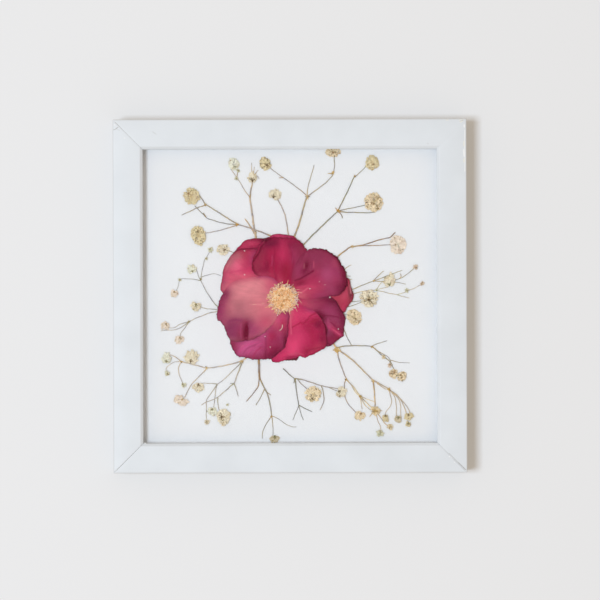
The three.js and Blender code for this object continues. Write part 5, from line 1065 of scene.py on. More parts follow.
        (0.65, (-24.7, -34.3), (-25.5, -36.5), (-26.5, -39), (-27.6, -42), (-28.3, -44.2)),
        (0.55, (-28.2, -43.8), (-30, -45.1), (-33, -47.8), (-37.5, -51.3), (-42, -53), (-44.7, -54.6)),
        (0.4, (-28.2, -44), (-27.4, -46.2), (-26.2, -50.3)), (0.5, (-28.2, -43.8), (-30.2, -43.8)),
        (0.4, (-36.4, -50.4), (-36.5, -54), (-35.6, -58))],
        florets=[(-33.7, -60.6, 3.5, 4.1, 0, "open", "peach", "cream", -0.8, 0.1, 2.4, "umber")],
        joints=[(-33.8, -64, 0.9, 2), (-31.7, -54.5, 0.6, 0.8)], buds={0: "peach", 1: "fern"},
        root=(-24.3, -32.7)),
    "spray_l": Spray(0, "dun", "khaki", [
        (0.6, (-33, -6.8), (-37, -7.8), (-40, -8.2), (-44, -9.7), (-48, -11.3), (-51, -12.9)),
        (0.45, (-50.6, -12.7), (-55, -13.9), (-58.6, -15.8), (-62.4, -15.5)),
        (0.45, (-50.8, -12.8), (-54.5, -15.4), (-58, -16.8), (-62, -17), (-65, -17.3)),
        (0.45, (-50.8, -12.8), (-53, -16), (-54.8, -18.3), (-55.5, -20.8))],
        florets=[(-62.9, -14.8, 2.4, 2, 0, "side", "cream", "blush", 0.8, 1.2, 1.4, "tan"),
                 (-55.6, -21.8, 2.4, 2, 0, "side", "cream", "blush", 0.2, 1.3, 1.4, "tan")],
        joints=[(-50.8, -12.8, 0.9, 0.7)], flecked=0.7),
    "floret_lower_left": Spray(1, "flax", "moss", [
        (0.4, (-33, -7.1), (-38, -6.6), (-42, -6.2), (-45.6, -5.3))],
        florets=[(-47.4, -4.8, 2.5, 2.8, 0, "side", "straw", "cream", 0.2, 0.9, 1.7, "olive")]),
    "spray_m": Spray(0, "pewter", "khaki", [
        (0.6, (-35.7, -5.4), (-37.6, -4.2), (-39.5, -1.5), (-42, 2.3), (-44.9, 8)),
        (0.45, (-44.8, 7.6), (-44.6, 10.8), (-43.9, 14), (-43, 18), (-42, 19.6), (-40.1, 22.7)),
        (0.4, (-44.8, 7.8), (-46, 10), (-46.6, 12.5), (-47.6, 14)),
        (0.45, (-44.7, 7.8), (-48, 8.5), (-52, 8.8), (-54.6, 8.7), (-55.8, 7.4), (-56.2, 5), (-57.4, 2.4)),
        (0.4, (-44.6, 9.6), (-41, 10.8), (-38, 11.3), (-36, 10.8), (-34.8, 10.3))],
        florets=[(-49.4, 13.7, 2.4, 2.3, 0, "side", "chalk", "ivory", 0.6, -1.4, 1.2, "olive"),
                 (-58.3, 1.5, 2, 1.9, 0, "side", "chalk", "blush", 0.4, 1.0, 1.3, "tan")],
        joints=[(-39.9, 23.5, 1.3, 1.3), (-44.8, 8.6, 0.7, 0.9), (-55.4, 8.3, 0.8, 0.7),
                (-42, 18.9, 0.6, 0.9)], buds={0: "fern", 2: "fern", 3: "fern"}),
    "floret_upper_left": Spray(0, "khaki", "tan", [
        (0.4, (-32, 23.3), (-28.5, 22), (-26, 20.5))],
        florets=[(-33.6, 23.4, 3.2, 2.8, 0.2, "open", "cream", "cream", 0.9, -0.1, 1.9, "umber")]),
}


STOUT, GOLDEN_REACH = 0.8, (2.4, 6.5)   # a stout stem is golden further up from its root, in mm
BUD_BLADES, CALYX_BLADES, BRACTS = 17, 6, 4


def add_twig(heap, points, width, level, stem, joint, rng):
    """One twig: a slightly wavering, tapering stalk, browner towards its root."""
    path = curve_through(points, TWIG_STEP)
    along = np.arange(len(path)) * TWIG_STEP
    run = np.gradient(path, axis=0)
    side = np.column_stack([-run[:, 1], run[:, 0]]) / np.linalg.norm(run, axis=1, keepdims=True)
    path = path + side * (0.07 * ripple(along, (5.1, 2.3, 1.3), (0.6, 0.3, 0.2), rng))[:, None]
    share = along / max(along[-1], 1e-6)
    radii = width / 2 * (0.88 - 0.22 * share) * (1 + 0.1 * ripple(along, (3.7, 1.5), (0.6, 0.5), rng))
    height = level + width * 0.4 + 0.04 * ripple(along, (8.0,), (1.0,), rng)
    tone = 0.5 + 0.5 * ripple(along, (11.0, 4.3, 1.9), (0.45, 0.3, 0.25), rng)
    reach = GOLDEN_REACH[width >= STOUT]
    root = np.clip(np.exp(-along / reach) * 0.85 + 0.35 * tone ** 2, 0, 1)
    dull = np.clip(ripple(along, (9.3, 5.9, 2.7), (0.5, 0.4, 0.3), rng), 0, 0.55)
    colours = blend(blend(SPRIG_DYES[stem], SPRIG_DYES[joint], root), SPRIG_DYES["slate"], dull)
    add_thread(heap, np.column_stack([path, height]), radii, colours * (1.0 + 0.3 * tone)[:, None])


def add_joint(heap, joint, level, dye, rng):
    """A swollen joint with a few small dry bracts."""
    x, z, rx, rz, turn = (*joint, 0.0)[:5]
    add_grain(heap, (x, z, level + 0.3), (rx * 0.66, rz * 0.66, 0.24), turn, SPRIG_DYES[dye])
    for _ in range(BRACTS):
        angle, length = rng.uniform(0, math.tau), rng.uniform(0.6, 1.1) * max(rx, rz)
        tip = SPRIG_DYES[rng.choice(("buff", "umber", "honey"))]
        add_blade(heap, (x, z, level + 0.35), angle, length, 0.3 * min(rx, rz) + 0.14, 0.1,
                  SPRIG_DYES[dye] * 0.9, tip, rng, rows=5)


def add_bud(heap, bud, level, dye, rng):
    """A small half-open bud: pale petal tips crowding out of a cup of narrow sepals."""
    x, z, rx, rz = bud[:4]
    colour = SPRIG_DYES[dye]
    add_grain(heap, (x, z, level + 0.3), (rx * 0.6, rz * 0.6, 0.3), 0, colour, sides=10, rows=6)
    for i in range(BUD_BLADES):
        angle, out = math.tau * i / BUD_BLADES + rng.uniform(-0.3, 0.3), rng.uniform(0.05, 0.6)
        root = (x + out * rx * math.cos(angle), z + out * rz * math.sin(angle), level + 0.62 - 0.4 * out)
        length = rng.uniform(0.45, 0.85) * (rx + rz) / 2
        add_blade(heap, root, angle + rng.uniform(-0.5, 0.5), length, 0.5 * min(rx, rz), 0.12,
                  colour * 0.95, (colour * 0.6 + SPRIG_DYES["cream"] * 0.5) * rng.uniform(0.8, 1.1), rng,
                  rows=5)
    for _ in range(BRACTS):
        angle = rng.uniform(0, math.tau)
        add_blade(heap, (x, z, level + 0.8), angle, rng.uniform(0.5, 1.0) * min(rx, rz), 0.2, 0.06,
                  SPRIG_DYES["olive"], SPRIG_DYES["tan"], rng, rows=5)


def reach_of(head, root, angle):
    """How far it is from a point inside a floret's outline to the outline, in a direction."""
    x, z, rx, rz, turn = head
    u, v = turned(root[0] - x, root[1] - z, -turn)
    u, v = u / rx, v / rz
    dx, dz = math.cos(angle - turn) / rx, math.sin(angle - turn) / rz
    a, b, k = dx * dx + dz * dz, u * dx + v * dz, u * u + v * v - 1
    return (-b + math.sqrt(max(b * b - a * k, 0.0))) / a


def floret_petal(heap, start, angle, length, width, dyes, rng):
    """One crumpled petal of a floret; some have dried browner than the rest."""
    inner, outer, depth = dyes
    tip = SPRIG_DYES[outer] * rng.uniform(0.95, 1.14)
    chance = rng.random()
    if chance < 0.15:
        tip = tip * 0.5 + SPRIG_DYES["straw"] * 0.45
    elif chance < 0.21:
        tip = tip * 0.5 + SPRIG_DYES["rosy_tan"] * 0.45
    add_blade(heap, start, angle, length, width, rng.uniform(0.06, 0.2), SPRIG_DYES[inner] * depth,
              tip, rng)


def add_flecks(heap, head, count, sepal, top, rng):
    """Small dark tips of dried petals, showing between the pale ones."""
    x, z, rx, rz, turn = head
    for _ in range(count):
        angle, out = rng.uniform(0, math.tau), 0.86 * math.sqrt(rng.uniform(0.04, 1))
        u, v = out * rx * math.cos(angle), out * rz * math.sin(angle)
        where = (x + u * math.cos(turn) - v * math.sin(turn), z + u * math.sin(turn) + v * math.cos(turn),
                 top - 0.2 * out)
        dye = SPRIG_DYES[rng.choice(("gold", "umber", "olive", "russet", "slate", sepal))]
        add_blade(heap, where, rng.uniform(0, math.tau), rng.uniform(0.4, 0.95),
                  rng.uniform(0.16, 0.32), 0.05, dye, dye * rng.uniform(0.9, 1.5), rng, rows=4)


# rings of an open floret and rows of a half-open one, lowest first: share of its size, height in mm
OPEN_RINGS = ((0.62, 0.1), (0.42, 0.24), (0.24, 0.38), (0.04, 0.5))
FAN_ROWS = ((1.0, 0.1), (0.88, 0.24), (0.7, 0.38), (0.5, 0.5))
CALYX_HEIGHT, FLECK_HEIGHT = 0.8, 0.72


def add_floret(heap, head, look, flecked, level, settings, rng):
    """A pressed double floret: rings of small crumpled petals, or a fan of them from its calyx."""
    form, inner, outer, cx, cz, size, sepal = look
    x, z, rx, rz, turn = head
    mean = (rx + rz) / 2
    width = 0.85 + 0.1 * mean
    facing = 0.0 if form == "open" else math.atan2(-cz, -cx)
    # a small floret has fewer petals, so its outline is more ragged
    unruly = 1.0 + 0.9 * max(0.0, min(1.0, 3.4 - mean))
    waves = [(k, unruly * rng.uniform(0.03, 0.09), rng.uniform(0, 6.3)) for k in (2, 3, 5, 8, 13)]

    def ragged(angle):
        return 1 + sum(h * math.sin(k * angle + p) for k, h, p in waves)

    if form == "open":
        for ring, rise in OPEN_RINGS:
            count = int(round(settings.floret_petals * (0.34 + ring) * mean / 3.2))
            for i in range(count):
                angle = math.tau * (i + rng.uniform(0.1, 0.9)) / count
                out = ring * rng.uniform(0.75, 1.2)
                u, v = out * rx * math.cos(angle - turn), out * rz * math.sin(angle - turn)
                start = (x + u * math.cos(turn) - v * math.sin(turn),
                         z + u * math.sin(turn) + v * math.cos(turn), level + rise)
                length = reach_of(head, start, angle) * ragged(angle) * rng.uniform(0.72, 1.26)
                length = min(max(length, 0.5), 0.66 * mean)
                floret_petal(heap, start, angle + rng.uniform(-0.7, 0.7), length,
                             width * rng.uniform(0.65, 1.2), (inner, outer, 0.86), rng)
        add_flecks(heap, head, int(flecked * 1.6 * rx * rz), sepal, level + FLECK_HEIGHT, rng)
    else:
        fan = 1.75 if form == "side" else 1.1
        for share, rise in FAN_ROWS:
            count = int(round(settings.floret_petals * (0.5 + 0.5 * share) * mean / 3.0))
            for i in range(count):
                angle = facing + fan * (2 * (i + rng.uniform(0.25, 0.75)) / count - 1)
                start = (x + cx, z + cz, level + rise)
                length = reach_of(head, start, angle) * share * (0.55 + 0.45 * ragged(angle))
                length *= rng.uniform(0.92, 1.06)
                floret_petal(heap, start, angle, max(length, 0.6), width * rng.uniform(0.8, 1.2),
                             (inner, outer, 0.97), rng)
        add_flecks(heap, head, int(flecked * 0.5 * rx * rz), sepal, level + FLECK_HEIGHT, rng)
    top = level + CALYX_HEIGHT
    around = math.pi if form == "open" else 1.2
    for i in range(CALYX_BLADES):
        angle = facing + around * (2 * (i + rng.uniform(0.2, 0.8)) / CALYX_BLADES - 1)
        add_blade(heap, (x + cx, z + cz, top), angle, size * rng.uniform(0.5, 1.1), 0.15 * size, 0.08,
                  SPRIG_DYES[sepal], SPRIG_DYES[sepal] * 0.7 + SPRIG_DYES["buff"] * 0.25, rng, rows=5)
    add_grain(heap, (x + cx, z + cz, top), (0.22 * size, 0.18 * size, 0.16), facing, SPRIG_DYES[sepal])


def sprig_piece(name, bed, material, settings):
    """One spray, from its twigs to its florets; the twigs are laid on the bed for the petals."""
    spray, rng, heap = SPRAYS[name], random.Random(name), Heap()
    level = 0.1 + spray.level * LEVEL_STEP
    for i, (width, *points) in enumerate(spray.twigs):
        before = len(heap.points)
        if i == 0 and spray.root:
            points = [spray.root, *points]
        add_twig(heap, points, width, level, spray.stem, spray.joint, rng)
        bed.lay(np.vstack(heap.points[before:]))
    for i, joint in enumerate(spray.joints):
        if i in spray.buds:
            add_bud(heap, joint, level, spray.buds[i], rng)
        else:
            add_joint(heap, joint, level, spray.joint, rng)
    for floret in spray.florets:
        add_floret(heap, floret[:5], floret[5:], spray.flecked, level, settings, rng)
    piece = heap.make("dried_" + name, material)
    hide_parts(name)
    return piece


# ---- moulding ----
# Mitre at each corner: gap left by the joint, extra opening at the outer corner, how far in it
# reaches, and how far the paint rounds off into the joint, all in mm.
MITRES = {"top_left": (0.035, 0.1, 6.0, 0.12), "bottom_left": (0.055, 0.05, 12.0, 0.11),
          "bottom_right": (0.035, 0.05, 12.0, 0.12), "top_right": (0.004, 0.0, 1.0, 0.012)}
# each rail: quarter turns from the top one, and the mitres at its two ends
RAILS = {"top": (0, "top_right", "top_left"), "left": (1, "top_left", "bottom_left"),
         "bottom": (2, "bottom_left", "bottom_right"), "right": (3, "bottom_right", "top_right")}

# Wear of the paint: hairline cracks (dye, width, points) and chips (dye, x, z, half width, half
# height, turn in radians), on the face and along the outer arris.
WEAR_DYES = {name: np.array(linear(code)) for name, code in {
    "crack": "#bfbfbc", "deep": "#a19c97", "scuff": "#d3d6d6", "gesso": "#eff0ef",
    "aged": "#e6e5dc"}.items()}
CRACKS = [("crack", 0.36, [(-88, 83.3), (-87.2, 83.6), (-86.4, 84.2), (-85.6, 84.8)]),
          ("scuff", 0.24, [(-87, 84.2), (-86, 83.6), (-84.9, 82.9)]),
          ("scuff", 0.4, [(-68.6, 82.4), (-67.4, 81.6), (-66.6, 81)]),
          ("crack", 0.2, [(79.4, -78.8), (82, -81.4), (84, -83.4)]),
          ("deep", 0.24, [(84, -83.4), (86, -85.4), (87.8, -87.2)]),
          ("aged", 0.4, [(84.6, 87.7), (86, 87.9), (87.2, 87.7)]),
          ("crack", 0.2, [(85, 87), (86.2, 87.5), (87, 87.7)]),
          ("gesso", 0.4, [(87.6, 62), (87.7, 68), (87.6, 76), (87.7, 83)])]
CHIPS = [("gesso", -82.5, 79.2, 0.4, 0.26, 0.4), ("gesso", -87.4, 85.8, 0.5, 0.3, 0),
         ("gesso", 79.6, -80.4, 0.5, 0.3, 0.5), ("gesso", 82.1, -83.4, 0.36, 0.24, 0.2),
         ("gesso", 80.6, -81, 0.3, 0.2, 0), ("aged", 87.2, 76, 0.4, 1.6, 0),
         ("gesso", 87.1, 71.4, 0.4, 2.2, 0.1), ("aged", 87.2, 67.6, 0.4, 1.2, 0),
         ("aged", 85.8, 87, 0.9, 0.4, 0.3), ("gesso", 87.4, 84.8, 0.4, 0.9, 0),
         ("aged", 79, 87.8, 0.9, 0.26, 0), ("gesso", -72.6, -73.4, 0.35, 0.3, 0),
         ("scuff", 69.2, 76, 0.3, 0.4, 0.6), ("scuff", -87.2, -87, 0.6, 0.3, 0.8)]


def wear_piece():
    """The cracks and chips in the paint, as thin as the coat of paint itself."""
    heap, face = Heap(), FACE - CARD_FACE - COAT
    for dye, width, line in CRACKS:
        path = curve_through(line, 0.5)
        path = np.column_stack([path, np.full(len(path), face)])
        add_thread(heap, path, np.full(len(path), width / 2), WEAR_DYES[dye], flat=COAT / width)
    for dye, x, z, wide, high, turn in CHIPS:
        add_grain(heap, (x, z, face), (wide, high, COAT / 2), turn, WEAR_DYES[dye], sides=9, rows=6)
    piece = heap.make("worn_paint", chalky("chipped_enamel_on_gesso", 0.5, 0.96, 1.04, 0.6))
    return piece


def rounded(corners, steps=5):
    """A closed outline whose corners (x, y, radius) are rounded."""
    outline = []
    for i, (x, y, radius) in enumerate(corners):
        here = np.array([x, y])
        before, after = np.array(corners[i - 1][:2]), np.array(corners[(i + 1) % len(corners)][:2])
        if radius == 0:
            outline.append(here)
            continue
        a = here + (before - here) / np.linalg.norm(before - here) * radius
        b = here + (after - here) / np.linalg.norm(after - here) * radius
        for t in np.linspace(0, 1, steps):
            outline.append((1 - t) ** 2 * a + 2 * t * (1 - t) * here + t * t * b)
    return np.array(outline)


def rail_section():
    """Section across a rail: distance from the outer side, distance from the wall."""
    rabbet = RAIL_WIDTH - RABBET_WIDTH
    return rounded([(0, 0, 0.3), (rabbet, 0, 0.1), (rabbet, LIP_BACK, 0), (RAIL_WIDTH, LIP_BACK, 0.1),
                    (RAIL_WIDTH, FACE - BEVEL_DROP, SMALL_ARRIS),
                    (RAIL_WIDTH - BEVEL_WIDTH, FACE - COAT, 0.3), (7.0, FACE - COAT, 0),
                    (0, FACE - COAT, ARRIS)])


# sections of a rail: how far from its end the close ones near a mitre are, in mm, and the plain ones
MITRE_SECTIONS = (0, 0.12, 0.3, 0.7)
FIRST_PLAIN, PLAIN_SECTIONS = 1.6, 70


def rail_piece(name, material, settings):
    """One rail, mitred, with the small unevenness of sanded and painted wood."""
    turn, *ends = RAILS[name]
    rng = random.Random(name)
    section = rail_section()
    s, depth = section[:, 0], section[:, 1]
    length = 2 * HALF_SIDE
    plain = np.linspace(FIRST_PLAIN, length - FIRST_PLAIN, PLAIN_SECTIONS)
    stations = np.concatenate([MITRE_SECTIONS, plain, length - np.array(MITRE_SECTIONS[::-1])])
    rows, reach = [], []
    for end in ends:
        gap, opening, fade, _ = MITRES[end]
        reach.append(HALF_SIDE - s - gap - opening * np.clip(1 - s / fade, 0, 1))
    phases = [rng.uniform(0, 6.3) for _ in range(2)]
    for t in stations:
        from_end = min(t, length - t)
        part = t / length
        x = reach[0] * (1 - part) - reach[1] * part
        if from_end < 1:
            x = reach[0] - from_end if part < 0.5 else from_end - reach[1]
        rounding = MITRES[ends[0] if part < 0.5 else ends[1]][3]
        drop = rounding * max(0.0, 1 - from_end / 0.5) ** 2
        wave = settings.unevenness * (math.sin(t / 17 + phases[0]) + 0.6 * math.sin(t / 7 + phases[1]))
        front = np.clip((depth - 2) / 4, 0, 1)
        y = depth - drop * (depth > FACE - BEVEL_DROP - 0.3) - 0.5 * abs(wave) * front
        across = HALF_SIDE - s - 0.5 * abs(wave) * (s < 0.5)
        rows.append(np.column_stack([x, across, y]))
    points = np.vstack(rows)
    for _ in range(turn):
        points[:, 0], points[:, 1] = -points[:, 1], points[:, 0].copy()
    n = len(s)
    faces = grid_faces(len(rows), n, closed=True)
    faces += [tuple(range(n))[::-1], tuple((len(rows) - 1) * n + i for i in range(n))]
    placed = np.column_stack([points[:, 0], -points[:, 2], points[:, 1] + MIDDLE]) * MM
    piece = make_piece("painted_rail_" + name, placed, faces, material, sharp_deg=50)
    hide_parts("frame_rail_" + name)
    return piece


# ---- back ----
def dress(node, material):
    """Gives a part of the frame its material."""
    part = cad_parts[node]
    part.data.materials.clear()
    part.data.materials.append(material)
    return part


def soften(node, width_mm, material):
    """Gives a part of the frame its material and a narrow rounded edge."""
    bevel = dress(node, material).modifiers.new("edge", "BEVEL")
    bevel.width, bevel.segments, bevel.limit_method = width_mm * MM, 2, "ANGLE"
    bevel.angle_limit = math.radians(30)


def rivet_piece(side, material):
    """Domed tubular rivet: smooth head with a dimple, plain shank through the board."""
    low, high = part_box("hanger_rivet_" + side)
    middle = (low + high) / 2
    radius, deep = (high.x - low.x) / 2, high.y - low.y
    # from the middle of the head round the rim to the end of the shank: share of radius, of depth
    profile = [(0.0, 0.93), (0.14, 0.93), (0.24, 0.975), (0.36, 1.0), (0.52, 0.985), (0.7, 0.95),
               (0.86, 0.9), (0.96, 0.84), (1.0, 0.78), (0.97, 0.755), (0.44, 0.755), (0.43, 0.02),
               (0.38, 0.0), (0.0, 0.0)]
    sides, points = 32, []
    for r, share in profile:
        for i in range(sides):
            a = math.tau * i / sides
            points.append((middle.x + r * radius * math.cos(a), low.y + share * deep,
                           middle.z + r * radius * math.sin(a)))
    faces = [face[::-1] for face in grid_faces(len(profile), sides, closed=True)]
    piece = make_piece("rivet_" + side, points, faces, material, sharp_deg=40)
    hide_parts("hanger_rivet_" + side)
    return piece


# ---- settings ----
def colour_property(name, code, description):
    """A colour setting whose default is an sRGB hex colour."""
    return FloatVectorProperty(name=name, subtype="COLOR", size=3, min=0, max=1, default=linear(code),
                               description=description)


class FlowerFrameMaking(bpy.types.PropertyGroup):
    """Sizes and colours of the framed flowers."""
    paint: colour_property("Paint", "#e0e4e7", "Colour of the painted moulding")
    unevenness: FloatProperty(name="Unevenness", default=0.03, min=0, max=0.2,
                              description="How far the painted wood strays from true, in mm")
    frill: FloatProperty(name="Frill", default=0.14, min=0, max=1,
                         description="How far a petal's margin strays from a smooth curve, in mm")
    wave: FloatProperty(name="Wave", default=0.16, min=0, max=1,
                        description="Height of the slow waves in a pressed petal, in mm")
    curl: FloatProperty(name="Curl", default=0.3, min=0, max=1,
                        description="How far a petal's margin lifts from what it lies on, in mm")
    drape: FloatProperty(name="Drape", default=2.5, min=0.5, max=8,
                         description="How far around a bump a petal stays lifted by it, in mm")
    rings: IntProperty(name="Rings", default=68, min=8, max=90,
                       description="Rows of mesh from a petal's heart to its margin")
    anthers: IntProperty(name="Anthers", default=980, min=20, max=1500,
                         description="Dried anthers heaped in the middle of the rose")
    filaments: IntProperty(name="Filaments", default=64, min=0, max=200,
                           description="Filaments that stick out round the boss of anthers")
    floret_petals: IntProperty(name="Floret petals", default=26, min=6, max=60,
                               description="How densely a floret is packed with petals")


class FlowerFrameStage(bpy.types.PropertyGroup):
    """The wall, the light and the view."""
    wall: colour_property("Wall", "#eaeaea", "Colour of the wall the picture hangs on")
    floor: colour_property("Floor", "#dedbd6", "Colour of the floor below it")
    floor_drop: FloatProperty(name="Floor drop", default=0.75, min=0.1, subtype="DISTANCE",
                              description="How far the floor is below the point the picture hangs from")
    key: colour_property("Window light", "#ddedff", "Colour of the light from the left")
    sky: colour_property("Room light", "#fff1e0", "Colour of the light from all round")
    key_power: FloatProperty(name="Window power", default=52, min=0, subtype="POWER",
                             description="Power of the light from the left")
    key_side: FloatProperty(name="Window size", default=0.7, min=0.01, subtype="DISTANCE",
                            description="Side of the square light; a larger one softens the shadow")
    key_distance: FloatProperty(name="Window distance", default=3.0, min=0.1, subtype="DISTANCE",
                                description="How far the light is from the picture")
    key_angle: FloatProperty(name="Window angle", default=math.radians(18.8), subtype="ANGLE",
                             description="Direction of the light, off the wall's normal")
    room: FloatProperty(name="Room light share", default=0.6, min=0, max=2,
                        description="Strength of the light from all round")
    lens: FloatProperty(name="Lens", default=180, min=10, subtype="DISTANCE_CAMERA",
                        description="Focal length of the camera")
    distance: FloatProperty(name="Camera distance", default=1.5, min=0.1, subtype="DISTANCE",
                            description="From the camera to the face of the frame")
    roll: FloatProperty(name="Roll", default=math.radians(0.16), subtype="ANGLE",
                        description="How far the camera is turned from upright")


# ---- operators ----
laid = Bed()


class FLOWERFRAME_OT_moulding(bpy.types.Operator):
    """Builds the four mitred rails of painted moulding"""
    bl_idname = "flowerframe.moulding"
    bl_label = "Moulding"

    def execute(self, context):
        settings = context.scene.flowerframe_making
        paint = satin_paint("satin_enamel_on_wood", tuple(settings.paint))
        for name in RAILS:
            rail_piece(name, paint, settings)
        return {"FINISHED"}


class FLOWERFRAME_OT_wear(bpy.types.Operator):
    """Adds the hairline cracks and chips in the paint of the moulding"""
    bl_idname = "flowerframe.wear"
    bl_label = "Worn paint"

    def execute(self, context):
        wear_piece()
        return {"FINISHED"}


class FLOWERFRAME_OT_glazing(bpy.types.Operator):
    """Gives the glass and the card their materials"""
    bl_idname = "flowerframe.glazing"
    bl_label = "Glass and card"

    def execute(self, context):
        dress("glass_pane", float_glass())
        dress("backing_card", white_card())
        return {"FINISHED"}


class FLOWERFRAME_OT_sprigs(bpy.types.Operator):
    """Lays the sprays of baby's breath on the card"""
    bl_idname = "flowerframe.sprigs"
    bl_label = "Baby's breath"

    def execute(self, context):
        material = chalky("dried_babys_breath", 0.9, 0.9, 1.1)
        for name in SPRAYS:
            sprig_piece(name, laid, material, context.scene.flowerframe_making)
        return {"FINISHED"}


class FLOWERFRAME_OT_rose(bpy.types.Operator):
    """Lays the petals of the rose, from the lowest to the uppermost"""
    bl_idname = "flowerframe.rose"
    bl_label = "Rose petals"

    def execute(self, context):
        material = pressed_petal()
        rng = random.Random(5)
        for plan in PETALS:
            petal_piece(plan, laid, material, context.scene.flowerframe_making, rng)
        return {"FINISHED"}


class FLOWERFRAME_OT_stamens(bpy.types.Operator):
    """Heaps the dried stamens in the middle of the rose"""
    bl_idname = "flowerframe.stamens"
    bl_label = "Stamens"

    def execute(self, context):
        material = chalky("dried_anthers_and_pollen", 0.4, 0.92, 1.1, roughness=0.75)
        stamens_piece(laid, material, context.scene.flowerframe_making)
        return {"FINISHED"}


class FLOWERFRAME_OT_dust(bpy.types.Operator):
    """Scatters the few pale specks of pollen on the card"""
    bl_idname = "flowerframe.dust"
    bl_label = "Pollen on the card"

    def execute(self, context):
        heap = Heap()
        for x, z, radius in CARD_SPECKS:
            add_grain(heap, (x, z, 0.06), (radius, radius * 0.7, 0.06), x, DUST_DYES[0])
        piece = heap.make("pollen_on_card", chalky("loose_pollen", 0.4, 0.95, 1.05))
        return {"FINISHED"}


class FLOWERFRAME_OT_back(bpy.types.Operator):
    """Finishes the board, the tabs, the hanger and its rivets"""
    bl_idname = "flowerframe.back"
    bl_label = "Back"

    def execute(self, context):
        soften("backing_board", 0.2, hardboard())
        steel = sheet_metal("zinc_plated_sheet_steel", "#c9ccd0", "#9fa3a8", 0.5)
        for corner in ("top_left", "top_right", "bottom_left", "bottom_right"):
            soften("retaining_tab_" + corner, 0.06, steel)
        brass = sheet_metal("brass_plated_sheet_steel", "#d9b565", "#a98440", 0.4)
        soften("sawtooth_hanger", 0.1, brass)
        for side in ("left", "right"):
            rivet_piece(side, brass)
        return {"FINISHED"}


class FLOWERFRAME_OT_stage(bpy.types.Operator):
    """Sets the wall behind the picture, the light and the camera"""
    bl_idname = "flowerframe.stage"
    bl_label = "Wall, light and camera"

    def execute(self, context):
        settings = context.scene.flowerframe_stage
        wall(settings)
        floor(settings)
        window_light(settings)
        camera(context, settings)
        world = bpy.data.worlds.new("room")
        world.use_nodes = True
        sky = world.node_tree.nodes["Background"]
        sky.inputs["Color"].default_value = (*settings.sky, 1)
        sky.inputs["Strength"].default_value = settings.room
        context.scene.world = world
        context.scene.view_settings.view_transform = "Standard"
        return {"FINISHED"}


def plane(name, corners, material):
    """A large plain surface of the room; it takes light but gives none to the picture."""
    mesh = bpy.data.meshes.new(name)
    mesh.from_pydata(corners, [], [(0, 1, 2, 3)])
    mesh.materials.append(material)
    surface = bpy.data.objects.new(name, mesh)
    surface.visible_diffuse = surface.visible_shadow = surface.visible_glossy = False
    bpy.context.scene.collection.objects.link(surface)
    return surface


SQUARE = ((-1, -1), (1, -1), (1, 1), (-1, 1))


def wall(settings):
    """A plain wall just behind the frame; it shows from the front only."""
    reach, back = 3.0, 0.0004
    return plane("wall", [(a * reach, back, b * reach) for a, b in SQUARE],
                 plain_plaster("emulsion_on_plaster", tuple(settings.wall)))


def floor(settings):
    """A plain pale floor well below the picture; it shows from above only."""
    reach = 30.0
    return plane("floor", [(a * reach, b * reach, -settings.floor_drop) for a, b in SQUARE],
                 plain_plaster("pale_lime_washed_boards", tuple(settings.floor)))


def window_light(settings):
    """A square soft light to the left and a little below, facing the picture."""
    light = bpy.data.lights.new("window", "AREA")
    light.energy, light.size, light.color = settings.key_power, settings.key_side, settings.key
    lamp = bpy.data.objects.new("window", light)
    angle, below = settings.key_angle, 0.045
    away = (-math.sin(angle), -math.cos(angle), -below)
    lamp.location = [a * settings.key_distance for a in away]
    lamp.location.z += MIDDLE * MM
    lamp.rotation_euler = (math.pi / 2 + below, 0, -angle)
    lamp.visible_camera = False
    bpy.context.scene.collection.objects.link(lamp)
    return lamp


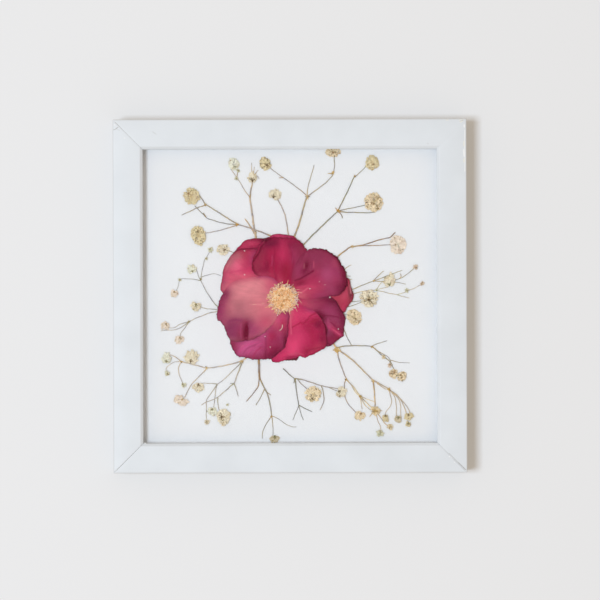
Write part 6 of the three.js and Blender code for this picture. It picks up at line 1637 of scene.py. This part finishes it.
def camera(context, settings):
    """A long lens square to the wall, just right of and below the middle of the picture."""
    lens = bpy.data.cameras.new("camera")
    lens.lens, lens.sensor_width, lens.clip_start = settings.lens, 36, 0.01
    viewer = bpy.data.objects.new("camera", lens)
    right, below = 5, 2                     # mm from the middle of the picture
    viewer.location = (right * MM, -settings.distance - FACE * MM, (MIDDLE - below) * MM)
    viewer.rotation_euler = (math.pi / 2, settings.roll, 0)
    context.scene.collection.objects.link(viewer)
    context.scene.camera = viewer
    return viewer


class FLOWERFRAME_PT_panel(bpy.types.Panel):
    """Lists the settings and the steps that build the picture"""
    bl_idname = "FLOWERFRAME_PT_panel"
    bl_label = "Pressed Flower Frame"
    bl_space_type = "VIEW_3D"
    bl_region_type = "UI"
    bl_category = "Pressed Flower"

    def draw(self, context):
        for group in (context.scene.flowerframe_making, context.scene.flowerframe_stage):
            box = self.layout.box()
            for name in group.bl_rna.properties.keys():
                if name not in ("rna_type", "name"):
                    box.prop(group, name)
        for operator in OPERATORS:
            self.layout.operator(operator.bl_idname)


OPERATORS = (FLOWERFRAME_OT_stage, FLOWERFRAME_OT_moulding, FLOWERFRAME_OT_wear,
             FLOWERFRAME_OT_glazing, FLOWERFRAME_OT_sprigs, FLOWERFRAME_OT_rose,
             FLOWERFRAME_OT_stamens, FLOWERFRAME_OT_dust, FLOWERFRAME_OT_back)
CLASSES = (FlowerFrameMaking, FlowerFrameStage, *OPERATORS, FLOWERFRAME_PT_panel)


def register():
    for cls in CLASSES:
        bpy.utils.register_class(cls)
    bpy.types.Scene.flowerframe_making = PointerProperty(type=FlowerFrameMaking)
    bpy.types.Scene.flowerframe_stage = PointerProperty(type=FlowerFrameStage)


def unregister():
    del bpy.types.Scene.flowerframe_stage
    del bpy.types.Scene.flowerframe_making
    for cls in reversed(CLASSES):
        bpy.utils.unregister_class(cls)


def main():
    register()
    bpy.ops.flowerframe.stage()
    bpy.ops.flowerframe.moulding()
    bpy.ops.flowerframe.wear()
    bpy.ops.flowerframe.glazing()
    bpy.ops.flowerframe.sprigs()
    bpy.ops.flowerframe.rose()
    bpy.ops.flowerframe.stamens()
    bpy.ops.flowerframe.dust()
    bpy.ops.flowerframe.back()


if __name__ == "__main__":
    main()
